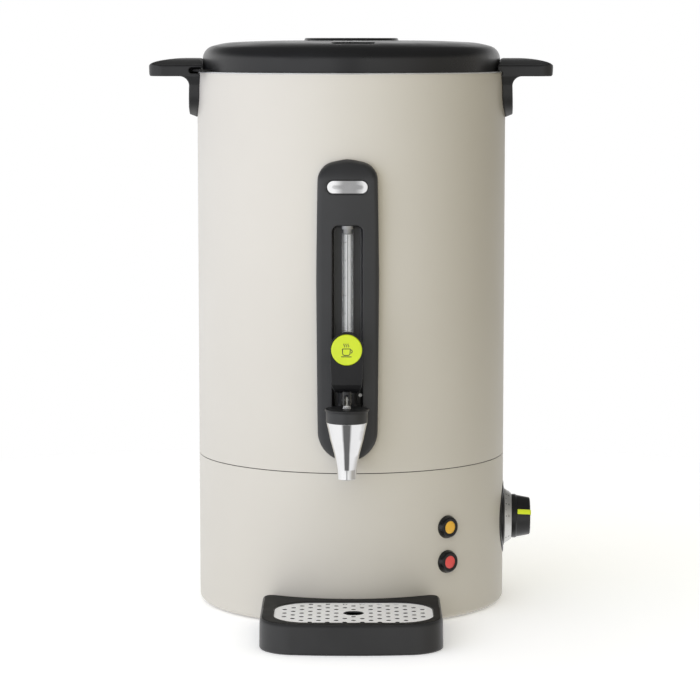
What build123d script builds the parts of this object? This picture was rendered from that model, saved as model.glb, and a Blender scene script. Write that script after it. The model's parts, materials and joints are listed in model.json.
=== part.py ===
from build123d import *
import math
import os

# Hot water urn: double-skinned drum on an electric base, bayonet lid, two side
# handles, front panel with sight tube and lever tap, loose drip tray.
# Millimetres. Origin on the drum's axis at table level, front towards -Y, +Z up.

# ---------------------------------------------------------------- driving sizes
BODY_R = 136.0          # outside of the painted skins
SKIN_T = 1.2            # painted skin thickness
TANK_R = 131.2          # outside of the inner tank
TANK_T = 0.8            # tank wall
TANK_FLOOR_Z = 145.2    # underside of the tank floor
RIM_Z = 471.2           # top of the tank's rolled rim
SEAM_Z = 132.7          # joint line between base skin and body skin
BASE_Z = 1.2            # underside of the base skin

LID_R = 131.2           # lid skirt, outside
LID_T = 2.4             # lid wall
LID_Z0 = 471.5          # bottom edge of the lid skirt
LID_Z1 = 498.1          # lid surface round the middle disc
LUG_A0, LUG_A1 = 16.6, 25.0   # lug's ends, degrees from the handle's centre line
LUG_R = 143.0           # lug's tip radius
LUG_T = 1.5             # lug's thickness
SLOT_R = 145.6          # bayonet slot, outer radius
SLOT_Z0, SLOT_Z1 = 469.7, 474.8
LID_MARK = 2.2          # lid recess, degrees from the front

EAR_X = 177.0           # handle tip, half the width over the handles
EAR_Z0 = 467.1          # underside of the ear
EAR_Z1 = 476.0          # top of the ear's straight edge
EAR_CROWN = 482.7       # highest line of the ear
EAR_Y = 36.0            # half width of the ear
LEG_X = 141.2           # outside face of the handle's leg
LEG_Y = 33.0            # half width of the leg
LEG_Z = 430.2           # lower end of the leg

PANEL_R = 148.0         # outside face of the front panel
PANEL_Z0, PANEL_Z1 = 144.6, 399.5
PANEL_W = 26.4          # half width of the panel
TROUGH_R = 137.4        # floor of the sight tube's trough
TROUGH_W = 12.85        # half width of the trough
TROUGH_Z0, TROUGH_Z1 = 188.0, 344.4

TAP_Y = -167.0          # axis of the tap
TAP_Z = 174.5           # axis of the tap's inlet shank
SPOUT_Z = 133.2         # mouth of the spout
CONE_TOP_Z = 181.5      # top of the bright spout
CAP_Z0, CAP_Z1 = 190.7, 193.0
STEM_R = 1.45
PIN_Z = 200.0           # lever pin
TUBE_Y, TUBE_R = -143.0, 4.8

KNOB_Z = 73.4
POINTER_A = 21.0        # pointer above the forward horizontal, degrees
LAMP_A = 38.7           # lamps, degrees from the front towards +X
LAMP_Z = (82.0, 51.7)   # amber above red

TRAY_TURN = 1.25        # the loose tray stands turned this far round the drum
TRAY_TOP = 25.7
TRAY_FRONT = 247.4
TRAY_W = 76.2          # half width of the tray
TRAY_X = 1.9            # the tray's middle lies this far to the side
GRILLE_Y = -194.1

OUT = "parts"
os.makedirs(OUT, exist_ok=True)
Z_AXIS = Axis((0, 0, 0), (0, 0, 1))
X_AXIS_KNOB = Axis((0, 0, KNOB_Z), (1, 0, 0))


def save(part, name):
    part.label = name
    export_step(part, f"{OUT}/{name}.step")


def front(y, z, x=0.0):
    """Plane square to the front direction: local x is +X, local y is +Z, normal -Y."""
    return Plane(origin=(x, y, z), x_dir=(1, 0, 0), z_dir=(0, -1, 0))


def side(x, y, z):
    """Plane square to +X: local x is +Y, local y is +Z, normal +X."""
    return Plane(origin=(x, y, z), x_dir=(0, 1, 0), z_dir=(1, 0, 0))


def radial(angle, r, z):
    """Plane square to the radius at angle degrees from the front towards +X."""
    a = math.radians(angle)
    d = (math.sin(a), -math.cos(a), 0)
    return Plane(origin=(d[0] * r, d[1] * r, z), x_dir=(math.cos(a), math.sin(a), 0), z_dir=d)


# ============================================================ drum and base
# Foot ring: rubber edging under the base skin, with holes for the flange screws.
FLANGE_SCREWS = PolarLocations(121.0, 4, start_angle=45)
with BuildPart() as foot_ring:
    with BuildSketch(Plane.XZ):
        with BuildLine():
            Polyline((113.5, 0.0), (127.6, 0.0), (128.4, 0.8), (128.4, BASE_Z), (113.5, BASE_Z), close=True)
        make_face()
    revolve(axis=Z_AXIS)
    with BuildSketch(Plane.XY.offset(-1)):
        with PolarLocations(121.0, 4, start_angle=45):
            Circle(4.2)
    extrude(amount=4, mode=Mode.SUBTRACT)
save(foot_ring.part, "foot_ring")

# Base skin: drum wall with a rounded bottom edge turned in as a flange.
with BuildPart() as base_shell:
    with BuildSketch(Plane.XZ):
        with BuildLine():
            l1 = Line((110.0, BASE_Z), (BODY_R - 4.6, BASE_Z))
            a1 = RadiusArc(l1 @ 1, (BODY_R, BASE_Z + 4.6), -4.6)
            l2 = Line(a1 @ 1, (BODY_R, SEAM_Z - 0.3))
            l3 = Line(l2 @ 1, (BODY_R - SKIN_T, SEAM_Z - 0.3))
            l4 = Line(l3 @ 1, (BODY_R - SKIN_T, BASE_Z + 4.6))
            a2 = RadiusArc(l4 @ 1, (BODY_R - 4.6, BASE_Z + SKIN_T), 3.4)
            l5 = Line(a2 @ 1, (110.0, BASE_Z + SKIN_T))
            Line(l5 @ 1, (110.0, BASE_Z))
        make_face()
    revolve(axis=Z_AXIS)
    # lamp holes
    for z in LAMP_Z:
        with BuildSketch(radial(LAMP_A, 125, z)):
            Circle(7.2)
        extrude(amount=20, mode=Mode.SUBTRACT)
    # thermostat bush hole
    with BuildSketch(side(125, 0, KNOB_Z)):
        Circle(5.2)
    extrude(amount=20, mode=Mode.SUBTRACT)
    # cable gland hole, rear
    with BuildSketch(radial(180, 125, 30)):
        Circle(8.2)
    extrude(amount=20, mode=Mode.SUBTRACT)
    # flange screw holes
    with BuildSketch(Plane.XY.offset(-1)):
        with PolarLocations(121.0, 4, start_angle=45):
            Circle(1.8)
    extrude(amount=6, mode=Mode.SUBTRACT)
save(base_shell.part, "base_shell")

# Base plate: closes the underside, lies on the flange, with cooling slots.
PLATE_Z = BASE_Z + SKIN_T
with BuildPart() as base_plate:
    with BuildSketch(Plane.XY.offset(PLATE_Z)):
        Circle(129.0)
        with PolarLocations(55, 12):
            SlotCenterToCenter(22, 4, mode=Mode.SUBTRACT)
        with PolarLocations(102.0, 3, start_angle=90):
            Circle(1.8, mode=Mode.SUBTRACT)
    extrude(amount=1.2)
    with BuildSketch(Plane.XY.offset(PLATE_Z + 1.2)):
        with PolarLocations(121.0, 4, start_angle=45):
            Circle(3.6)
    extrude(amount=4.5)
    with BuildSketch(Plane.XY.offset(PLATE_Z - 1)):
        with PolarLocations(121.0, 4, start_angle=45):
            Circle(1.55)
    extrude(amount=10, mode=Mode.SUBTRACT)
save(base_plate.part, "base_plate")

# Screws from below: four through the flange, three into the tie rods.
with BuildPart() as base_screws:
    with BuildSketch(Plane.XY.offset(0.25)):
        with PolarLocations(121.0, 4, start_angle=45):
            Circle(3.4)
    extrude(amount=BASE_Z - 0.25)
    with BuildSketch(Plane.XY.offset(BASE_Z)):
        with PolarLocations(121.0, 4, start_angle=45):
            Circle(1.5)
    extrude(amount=6.0)
    with BuildSketch(Plane.XY.offset(PLATE_Z - 1.6)):
        with PolarLocations(102.0, 3, start_angle=90):
            Circle(3.4)
    extrude(amount=1.6)
    with BuildSketch(Plane.XY.offset(PLATE_Z)):
        with PolarLocations(102.0, 3, start_angle=90):
            Circle(1.5)
    extrude(amount=9.0)
save(base_screws.part, "base_screws")

# Tie rods: hang from the tank floor and hold the base plate up.
with BuildPart() as tie_rods:
    with BuildSketch(Plane.XY.offset(PLATE_Z + 1.2)):
        with PolarLocations(102.0, 3, start_angle=90):
            Circle(4.0)
    extrude(amount=TANK_FLOOR_Z - PLATE_Z - 1.2)
    with BuildSketch(Plane.XY.offset(PLATE_Z)):
        with PolarLocations(102.0, 3, start_angle=90):
            Circle(1.55)
    extrude(amount=12, mode=Mode.SUBTRACT)
save(tie_rods.part, "tie_rods")

# Joint ring: dark gasket between the two skins, its bead shows as the seam line.
with BuildPart() as joint_ring:
    with BuildSketch(Plane.XZ):
        with BuildLine():
            Polyline(
                (BODY_R - 3.2, SEAM_Z - 8), (BODY_R - 1.3, SEAM_Z - 8), (BODY_R - 1.3, SEAM_Z - 0.3),
                (BODY_R - 0.35, SEAM_Z - 0.3), (BODY_R - 0.35, SEAM_Z + 0.3), (BODY_R - 1.3, SEAM_Z + 0.3),
                (BODY_R - 1.3, SEAM_Z + 8), (BODY_R - 3.2, SEAM_Z + 8), close=True)
        make_face()
    revolve(axis=Z_AXIS)
save(joint_ring.part, "joint_ring")

# Inner tank: rounded floor corner, straight wall, rim rolled over the body skin.
tri = TANK_R - TANK_T
with BuildPart() as inner_tank:
    with BuildSketch(Plane.XZ):
        with BuildLine():
            l1 = Line((0, TANK_FLOOR_Z), (TANK_R - 8, TANK_FLOOR_Z))
            a1 = RadiusArc(l1 @ 1, (TANK_R, TANK_FLOOR_Z + 8), -8)
            l2 = Line(a1 @ 1, (TANK_R, RIM_Z - 0.8))
            l3 = Line(l2 @ 1, (BODY_R + 0.12, RIM_Z - 0.8))
            l4 = Line(l3 @ 1, (BODY_R + 0.12, RIM_Z - 1.1))
            l45 = Line(l4 @ 1, (BODY_R + 0.6, RIM_Z - 1.1))
            l5 = Line(l45 @ 1, (BODY_R + 0.6, RIM_Z - 0.5))
            a5 = RadiusArc(l5 @ 1, (BODY_R + 0.1, RIM_Z), -0.5)
            l6 = Line(a5 @ 1, (tri + 0.8, RIM_Z))
            a6 = RadiusArc(l6 @ 1, (tri, RIM_Z - 0.8), -0.8)
            l7 = Line(a6 @ 1, (tri, TANK_FLOOR_Z + 8))
            a7 = RadiusArc(l7 @ 1, (TANK_R - 8, TANK_FLOOR_Z + TANK_T), 7.2)
            l8 = Line(a7 @ 1, (0, TANK_FLOOR_Z + TANK_T))
            Line(l8 @ 1, (0, TANK_FLOOR_Z))
        make_face()
    revolve(axis=Z_AXIS)
    with BuildSketch(front(-120, TAP_Z)):
        Circle(6.6)
    extrude(amount=20, mode=Mode.SUBTRACT)
    with BuildSketch(front(-120, 194)):
        Circle(4.6)
    extrude(amount=20, mode=Mode.SUBTRACT)
save(inner_tank.part, "inner_tank")

# Body skin: plain tube between the joint ring and the rim, with fixing holes.
with BuildPart() as body_shell:
    with BuildSketch(Plane.XY.offset(SEAM_Z + 0.3)):
        Circle(BODY_R)
        Circle(BODY_R - SKIN_T, mode=Mode.SUBTRACT)
    extrude(amount=RIM_Z - 0.9 - SEAM_Z - 0.3)
    for z, r in ((TAP_Z, 6.9), (194, 4.9), (388, 2.2), (156, 2.2)):
        with BuildSketch(front(-120, z)):
            Circle(r)
        extrude(amount=20, mode=Mode.SUBTRACT)
    with BuildSketch(side(-150, 0, 0)):
        with Locations((0, 443.5), (0, 460.5)):
            Circle(2.2)
    extrude(amount=300, mode=Mode.SUBTRACT)
save(body_shell.part, "body_shell")

# Insulation sleeve: felt between tank and skin, with a window behind the panel.
with BuildPart() as insulation_sleeve:
    with BuildSketch(Plane.XY.offset(156)):
        Circle(BODY_R - SKIN_T - 0.3)
        Circle(TANK_R + 0.2, mode=Mode.SUBTRACT)
    extrude(amount=272)
    with BuildSketch(front(-110, 275)):
        RectangleRounded(56, 262, 12)
    extrude(amount=40, mode=Mode.SUBTRACT)
save(insulation_sleeve.part, "insulation_sleeve")

# ============================================================ handles
# Side view of a handle (X outwards, Z up): crowned ear, leg down the wall.
with BuildPart() as handle_right:
    with BuildSketch(Plane.XZ):
        with BuildLine():
            top = Spline((126.0, EAR_CROWN), (150.0, EAR_CROWN - 0.1), (166.0, EAR_CROWN - 1.8), (EAR_X - 1.2, EAR_Z1 + 1.4),
                         tangents=((1, 0), (0.75, -0.66)))
            t2 = RadiusArc(top @ 1, (EAR_X, EAR_Z1 - 0.9), 1.8)
            t3 = Line(t2 @ 1, (EAR_X - 0.5, EAR_Z0 + 1.6))
            t4 = RadiusArc(t3 @ 1, (EAR_X - 2.2, EAR_Z0), 1.8)
            t5 = Line(t4 @ 1, (LEG_X + 8.2, EAR_Z0))
            t6 = RadiusArc(t5 @ 1, (LEG_X + 0.1, EAR_Z0 - 8.0), -8.2)
            t7 = Line(t6 @ 1, (LEG_X + 0.9, LEG_Z + 4.2))
            t8 = RadiusArc(t7 @ 1, (LEG_X - 0.6, LEG_Z + 2.9), 1.5)
            t9 = Line(t8 @ 1, (133.0, LEG_Z - 0.6))
            t10 = Line(t9 @ 1, (126.0, LEG_Z - 0.6))
            Line(t10 @ 1, (126.0, EAR_CROWN))
        make_face()
    extrude(amount=50, both=True)
    # end view: crowned top, tongue-shaped leg, drawn as one half and mirrored
    with BuildSketch(side(100, 0, 0)):
        with BuildLine():
            b1 = Spline((0, EAR_CROWN), (18.0, EAR_CROWN - 1.2), (EAR_Y - 2.4, EAR_Z1 + 1.3), tangents=((1, 0), (1, -0.32)))
            b2 = RadiusArc(b1 @ 1, (EAR_Y, EAR_Z1 - 1.2), 2.2)
            b3 = Line(b2 @ 1, (EAR_Y, 467.0))
            b4 = Line(b3 @ 1, (LEG_Y, 460.0))
            b5 = Line(b4 @ 1, (LEG_Y - 0.8, 451.0))
            b6 = Spline(b5 @ 1, (27.2, 440.2), (13.0, 432.2), (0, LEG_Z - 0.6), tangents=((-0.1, -1), (-1, 0)))
            mirror(about=Plane.YZ)
        make_face()
    extrude(amount=90, mode=Mode.INTERSECT)
    # plan: rounded ear tip
    with BuildSketch(Plane.XY.offset(420)):
        with Locations(((EAR_X + 100) / 2, 0)):
            RectangleRounded(EAR_X - 100, 2 * EAR_Y, 13)
        with Locations((115, 0)):
            Rectangle(40, 2 * EAR_Y)
    extrude(amount=80, mode=Mode.INTERSECT)
    # room for the drum wall, the rolled rim and the lid
    with BuildSketch(Plane.XY.offset(420)):
        Circle(BODY_R + 0.05)
    extrude(amount=RIM_Z - 2.95 - 420, mode=Mode.SUBTRACT)
    with BuildSketch(Plane.XY.offset(RIM_Z - 2.95)):
        Circle(BODY_R + 0.95)
    extrude(amount=3.15, mode=Mode.SUBTRACT)
    with BuildSketch(Plane.XY.offset(RIM_Z + 0.2)):
        Circle(LID_R + 1.9)
    extrude(amount=20, mode=Mode.SUBTRACT)
    # bayonet slot, open towards the rear and towards the axis
    half = (SLOT_Z1 - SLOT_Z0) / 2
    with BuildSketch(Plane.XZ.rotated((0, 0, 2.4))):
        with Locations(((125 + SLOT_R - half) / 2, (SLOT_Z0 + SLOT_Z1) / 2)):
            Rectangle(SLOT_R - half - 125, 2 * half)
        with Locations((SLOT_R - half, (SLOT_Z0 + SLOT_Z1) / 2)):
            Circle(half)
    revolve(axis=Z_AXIS, revolution_arc=22, mode=Mode.SUBTRACT)
    # blind holes for the screws
    with BuildSketch(side(130, 0, 0)):
        with Locations((0, 443.5), (0, 460.5)):
            Circle(2.05)
    extrude(amount=10.3, mode=Mode.SUBTRACT)
save(handle_right.part, "handle_right")

with BuildPart() as handle_left:
    add(handle_right.part.rotate(Axis.Z, 180))
save(handle_left.part, "handle_left")

# Backing plates inside the skin behind each handle leg.
with BuildPart() as handle_plates:
    with BuildSketch(Plane.XY.offset(436)):
        Circle(BODY_R - SKIN_T - 0.05)
        Circle(BODY_R - SKIN_T - 1.3, mode=Mode.SUBTRACT)
        Rectangle(300, 44, mode=Mode.INTERSECT)
    extrude(amount=31)
    with BuildSketch(side(-150, 0, 0)):
        with Locations((0, 443.5), (0, 460.5)):
            Circle(2.2)
    extrude(amount=300, mode=Mode.SUBTRACT)
save(handle_plates.part, "handle_plates")

with BuildPart() as handle_screws:
    for s in (1, -1):
        for z in (443.5, 460.5):
            pl = Plane(origin=(s * 131.35, 0, z), x_dir=(0, 1, 0), z_dir=(s, 0, 0))
            with BuildSketch(pl):
                Circle(4.0)
            extrude(amount=2.0)
            with BuildSketch(pl.offset(2.0)):
                Circle(2.0)
            extrude(amount=6.8)
save(handle_screws.part, "handle_screws")

# ============================================================ lid
def lug_face(r0, r1, half_turn):
    """Ring sector between the lug's two end angles, from r0 to r1."""
    a0, am, a1 = (math.radians(180 + half_turn + a) for a in (LUG_A0, (LUG_A0 + LUG_A1) / 2, LUG_A1))
    with BuildSketch() as sector:
        with BuildLine():
            e1 = Line((r0 * math.cos(a0), r0 * math.sin(a0)), (r1 * math.cos(a0), r1 * math.sin(a0)))
            e2 = ThreePointArc(e1 @ 1, (r1 * math.cos(am), r1 * math.sin(am)), (r1 * math.cos(a1), r1 * math.sin(a1)))
            e3 = Line(e2 @ 1, (r0 * math.cos(a1), r0 * math.sin(a1)))
            ThreePointArc(e3 @ 1, (r0 * math.cos(am), r0 * math.sin(am)), e1 @ 0)
        make_face()
    return sector.sketch


with BuildPart() as lid_shell:
    with BuildSketch(Plane.XZ):
        with BuildLine():
            l1 = Line((LID_R, LID_Z0), (LID_R, 481.9))
            s1 = TangentArc(l1 @ 1, (122.85, 493.18), tangent=(0, 1))
            s2 = TangentArc(s1 @ 1, (103.65, 496.57), tangent=s1 % 1)
            s3 = TangentArc(s2 @ 1, (41.6, LID_Z1), tangent=s2 % 1)
            l2 = Line(s3 @ 1, (41.2, 499.2))
            a2 = RadiusArc(l2 @ 1, (40.2, 500.2), -1.0)
            s4 = Line(a2 @ 1, (0, 500.2))
            l3 = Line(s4 @ 1, (0, 484.8))
            l4 = Line(l3 @ 1, (38.0, 484.8))
            l5 = Line(l4 @ 1, (38.0, 495.6))
            s5 = TangentArc(l5 @ 1, (103.2, 494.2), tangent=(1, 0))
            s6 = TangentArc(s5 @ 1, (121.9, 490.9), tangent=s5 % 1)
            s7 = TangentArc(s6 @ 1, (LID_R - LID_T, 481.9), tangent=s6 % 1)
            l6 = Line(s7 @ 1, (LID_R - LID_T, LID_Z0))
            Line(l6 @ 1, (LID_R, LID_Z0))
        make_face()
    revolve(axis=Z_AXIS)
    # pads behind the two edge recesses
    with BuildSketch(Plane.XY.offset(489.3)):
        with PolarLocations(103.0, 2, start_angle=-90 + LID_MARK):
            RectangleRounded(23, 43, 8)
    extrude(amount=5.5)
    # screw bosses for the liner
    with BuildSketch(Plane.XY.offset(475.3)):
        with PolarLocations(98.0, 4, start_angle=45):
            Circle(4.0)
    extrude(amount=20.0)
    # edge recesses with steam slots
    with BuildSketch(Plane.XY.offset(491.6)):
        with PolarLocations(103.0, 2, start_angle=-90 + LID_MARK):
            RectangleRounded(17.5, 37, 7)
    extrude(amount=10, mode=Mode.SUBTRACT)
    fillet(lid_shell.edges().filter_by(lambda e: 90 < math.hypot((e @ 0.5).X, (e @ 0.5).Y) < 114.5 and (e @ 0.5).Z > 495.0
                                       and e.length < 24), 0.8)
    with BuildSketch(Plane.XY.offset(485)):
        for c in (-12, -6, 0, 6, 12):
            with PolarLocations(103.0, 2, start_angle=-90 + LID_MARK):
                with Locations((0, c)):
                    SlotOverall(10, 2.2)
    extrude(amount=10, mode=Mode.SUBTRACT)
    # two finger wells leave a bar across the middle disc
    with BuildSketch(Plane.XY.offset(487.4)):
        Circle(32.5)
        Rectangle(80, 20, mode=Mode.SUBTRACT)
    extrude(amount=20, mode=Mode.SUBTRACT)
    fillet(lid_shell.edges().filter_by(lambda e: math.hypot((e @ 0.5).X, (e @ 0.5).Y) < 34 and (e @ 0.5).Z > 499.0), 1.4)
    fillet(lid_shell.edges().filter_by(lambda e: math.hypot((e @ 0.5).X, (e @ 0.5).Y) < 34 and abs((e @ 0.5).Z - 487.4) < 0.1), 2.0)
    # notches in the skirt's edge, where the two bayonet lugs sit
    for half_turn in (0, 180):
        with BuildSketch(Plane.XY.offset(LID_Z0 - 1)):
            add(lug_face(126.0, 133.0, half_turn))
        extrude(amount=1 + LUG_T, mode=Mode.SUBTRACT)
    # pilot holes for the liner screws
    with BuildSketch(Plane.XY.offset(475.0)):
        with PolarLocations(98.0, 4, start_angle=45):
            Circle(1.45)
    extrude(amount=13, mode=Mode.SUBTRACT)
save(lid_shell.part, "lid_shell")

# Bayonet lugs: two plates let into the skirt's lower edge.
with BuildPart() as lid_lugs:
    for half_turn in (0, 180):
        with BuildSketch(Plane.XY.offset(LID_Z0)):
            add(lug_face(LID_R - LID_T - 0.6, LUG_R, half_turn))
        extrude(amount=LUG_T)
save(lid_lugs.part, "lid_lugs")

# Liner: bright pan that hangs inside the tank's mouth and carries the seal.
with BuildPart() as lid_liner:
    with BuildSketch(Plane.XZ):
        with BuildLine():
            Polyline((0, 475.2), (124.6, 475.2), (124.6, 464.6), (126.0, 464.6), (126.0, 463.8), (123.8, 463.8),
                     (123.8, 474.4), (0, 474.4), close=True)
        make_face()
    revolve(axis=Z_AXIS)
    with BuildSketch(Plane.XY.offset(470)):
        with PolarLocations(98.0, 4, start_angle=45):
            Circle(1.7)
        for c in (-12, -6, 0, 6, 12):
            with PolarLocations(103.0, 2, start_angle=-90 + LID_MARK):
                with Locations((0, c)):
                    SlotOverall(8, 2.0)
    extrude(amount=10, mode=Mode.SUBTRACT)
save(lid_liner.part, "lid_liner")

with BuildPart() as lid_seal:
    with BuildSketch(Plane.XZ):
        with BuildLine():
            Polyline((124.95, 464.95), (129.4, 464.95), (130.08, 466.2), (129.5, 467.4), (130.08, 468.6), (129.5, 469.8),
                     (129.5, 471.1), (124.95, 471.1), close=True)
        make_face()
    revolve(axis=Z_AXIS)
save(lid_seal.part, "lid_seal")

with BuildPart() as lid_screws:
    with BuildSketch(Plane.XY.offset(472.4)):
        with PolarLocations(98.0, 4, start_angle=45):
            Circle(3.6)
    extrude(amount=2.0)
    with BuildSketch(Plane.XY.offset(474.4)):
        with PolarLocations(98.0, 4, start_angle=45):
            Circle(1.4)
    extrude(amount=11.0)
save(lid_screws.part, "lid_screws")

# ============================================================ front panel
with BuildPart() as trough_tool:
    with BuildSketch(front(-125, 0)):
        with Locations((0, (TROUGH_Z0 + TROUGH_Z1) / 2)):
            RectangleRounded(2 * TROUGH_W, TROUGH_Z1 - TROUGH_Z0, 5.2)
    extrude(amount=40)
    with BuildSketch(Plane.XY.offset(100)):
        Circle(TROUGH_R)
    extrude(amount=320, mode=Mode.SUBTRACT)

with BuildPart() as badge_tool:
    with BuildSketch(front(-125, 376.7)):
        SlotOverall(35.0, 11.9)
    extrude(amount=40)
    with BuildSketch(Plane.XY.offset(300)):
        Circle(PANEL_R - 0.7)
    extrude(amount=120, mode=Mode.SUBTRACT)

with BuildPart() as front_panel:
    with BuildSketch(front(-120, 0)):
        with Locations((0, PANEL_Z0 + PANEL_W - 1.0)):
            Circle(PANEL_W - 1.0)
        with Locations((0, 300)):
            Circle(PANEL_W + 0.1)
        with Locations((0, PANEL_Z1 - 24.5)):
            Circle(24.5)
        with Locations((-9.3, PANEL_Z1 - 17.8), (9.3, PANEL_Z1 - 17.8)):
            Circle(16.0)
        make_hull()
    extrude(amount=50)
    with BuildSketch(Plane.XY.offset(100)):
        Circle(PANEL_R)
    extrude(amount=350, mode=Mode.INTERSECT)
    with BuildSketch(Plane.XY.offset(100)):
        Circle(BODY_R + 0.05)
    extrude(amount=350, mode=Mode.SUBTRACT)
    rim_edges = front_panel.edges().filter_by(lambda e: abs(math.hypot((e @ 0.5).X, (e @ 0.5).Y) - PANEL_R) < 0.02
                                              and abs(math.hypot((e @ 0.1).X, (e @ 0.1).Y) - PANEL_R) < 0.02)
    fillet(rim_edges, 3.0)
    add(trough_tool.part, mode=Mode.SUBTRACT)
    add(badge_tool.part, mode=Mode.SUBTRACT)
    for z, r in ((TAP_Z, 6.9), (194, 4.9)):
        with BuildSketch(front(-120, z)):
            Circle(r)
        extrude(amount=40, mode=Mode.SUBTRACT)
    for z in (388, 156):
        with BuildSketch(front(-130, z)):
            Circle(1.65)
        extrude(amount=13, mode=Mode.SUBTRACT)
    # seat of the small screw beside the stem
    with BuildSketch(front(-130, 200.5, 10.6)):
        Circle(1.05)
    extrude(amount=20, mode=Mode.SUBTRACT)
save(front_panel.part, "front_panel")

# Badge plate: plain pill of bright metal.
with BuildPart() as badge_plate:
    with BuildSketch(front(-125, 376.7)):
        SlotOverall(34.0, 10.9)
    extrude(amount=40)
    with BuildSketch(Plane.XY.offset(300)):
        Circle(PANEL_R + 0.1)
    extrude(amount=120, mode=Mode.INTERSECT)
    with BuildSketch(Plane.XY.offset(300)):
        Circle(PANEL_R - 0.65)
    extrude(amount=120, mode=Mode.SUBTRACT)
save(badge_plate.part, "badge_plate")

# Panel screws from behind the skin, and the small one in the trough.
with BuildPart() as panel_screws:
    for z in (388, 156):
        with BuildSketch(front(-131.5, z)):
            Circle(3.4)
        extrude(amount=2.9)
        with BuildSketch(front(-134.4, z)):
            Circle(1.6)
        extrude(amount=8.0)
    with BuildSketch(front(-137.0, 200.5, 10.6)):
        Circle(1.0)
    extrude(amount=1.2)
    with BuildSketch(front(-138.2, 200.5, 10.6)):
        Circle(1.5)
    extrude(amount=1.1)
save(panel_screws.part, "panel_screws")

# ============================================================ sight tube
with BuildPart() as sight_tube:
    with BuildSketch(Plane.XY.offset(199.0)):
        with Locations((0, TUBE_Y)):
            Circle(TUBE_R)
            Circle(TUBE_R - 1.2, mode=Mode.SUBTRACT)
    extrude(amount=142.3)
save(sight_tube.part, "sight_tube")

with BuildPart() as sight_tube_cap:
    with BuildSketch(Plane.XY.offset(341.35)):
        with Locations((0, TUBE_Y)):
            Circle(TUBE_R)
    extrude(amount=2.8)
    with BuildSketch(Plane.XY.offset(337.0)):
        with Locations((0, TUBE_Y)):
            Circle(TUBE_R - 1.25)
            Circle(1.0, mode=Mode.SUBTRACT)
    extrude(amount=4.4)
save(sight_tube_cap.part, "sight_tube_cap")

with BuildPart() as level_scale:
    with BuildSketch(Plane.XY.offset(210.0)):
        with Locations((0, -137.75)):
            Rectangle(5.5, 0.5)
    extrude(amount=131.0)
save(level_scale.part, "level_scale")

# Elbow: socket block for the tube's lower end with a shank into the tank.
with BuildPart() as sight_tube_elbow:
    with BuildSketch(Plane.XY.offset(188.6)):
        with BuildLine():
            Polyline((-8, -137.6), (-8, -146.0), (-6, -147.9), (6, -147.9), (8, -146.0), (8, -137.6), close=True)
        make_face()
    extrude(amount=18.6)
    with BuildSketch(Plane.XY.offset(194.2)):
        with BuildLine():
            Polyline((-8, -146.0), (-5.5, -149.6), (5.5, -149.6), (8, -146.0), close=True)
        make_face()
    extrude(amount=13.0)
    with BuildSketch(front(-124.0, 194)):
        Circle(4.5)
    extrude(amount=16)
    with BuildSketch(Plane.XY.offset(198.9)):
        with Locations((0, TUBE_Y)):
            Circle(TUBE_R + 0.04)
    extrude(amount=10, mode=Mode.SUBTRACT)
    with BuildSketch(Plane.XY.offset(194.0)):
        with Locations((0, TUBE_Y)):
            Circle(2.4)
    extrude(amount=6, mode=Mode.SUBTRACT)
    with BuildSketch(front(-123, 194)):
        Circle(2.4)
    extrude(amount=20, mode=Mode.SUBTRACT)
save(sight_tube_elbow.part, "sight_tube_elbow")

with BuildPart() as elbow_nut:
    with BuildSketch(front(-125.4, 194)):
        RegularPolygon(6.5, 6, major_radius=False)
        Circle(4.55, mode=Mode.SUBTRACT)
    extrude(amount=4.4)
save(elbow_nut.part, "elbow_nut")

# ============================================================ tap
tap_plane = front(TAP_Y, 0)
TAP_AXIS = Axis((0, TAP_Y, 0), (0, 0, 1))
with BuildPart() as spout:
    with BuildSketch(tap_plane):
        with BuildLine():
            l1 = Line((0, SPOUT_Z), (7.4, SPOUT_Z))
            a1 = RadiusArc(l1 @ 1, (7.9, SPOUT_Z + 0.5), -0.5)
            s1 = Spline(a1 @ 1, (8.9, 146.0), (10.4, 152.5), (12.3, 160.0), (17.3, CONE_TOP_Z),
                        tangents=((0.05, 1), (0.24, 1)))
            l2 = Line(s1 @ 1, (14.8, CONE_TOP_Z))
            l3 = Line(l2 @ 1, (14.8, 188.0))
            l4 = Line(l3 @ 1, (0, 188.0))
            Line(l4 @ 1, (0, SPOUT_Z))
        make_face()
    revolve(axis=TAP_AXIS)
    with BuildSketch(front(-149.4, TAP_Z)):
        Circle(10.5)
    extrude(amount=10)
    with BuildSketch(front(-119.5, TAP_Z)):
        Circle(6.5)
    extrude(amount=32)
    # water way: chamber, seat, bore and inlet
    with BuildSketch(tap_plane):
        with BuildLine():
            Polyline((0, SPOUT_Z - 1), (6.0, SPOUT_Z - 1), (6.0, SPOUT_Z + 8), (5.4, SPOUT_Z + 9), (5.4, 166.0), (9.6, 166.0),
                     (9.6, 173.0), (12.9, 174.5), (12.9, 189.0), (0, 189.0), close=True)
        make_face()
    revolve(axis=TAP_AXIS, mode=Mode.SUBTRACT)
    with BuildSketch(front(-119, TAP_Z)):
        Circle(4.0)
    extrude(amount=46, mode=Mode.SUBTRACT)
save(spout.part, "spout")

with BuildPart() as tap_collar:
    with BuildSketch(tap_plane):
        with BuildLine():
            Polyline((14.85, CONE_TOP_Z), (17.35, CONE_TOP_Z), (17.6, CONE_TOP_Z + 0.4), (17.6, CAP_Z0 - 0.4), (17.35, CAP_Z0),
                     (14.85, CAP_Z0), close=True)
        make_face()
    revolve(axis=TAP_AXIS)
    # room for the neck and its washer
    with BuildSketch(front(-147.0, TAP_Z)):
        Circle(10.7)
    extrude(amount=7.6, mode=Mode.SUBTRACT)
save(tap_collar.part, "tap_collar")

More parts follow.
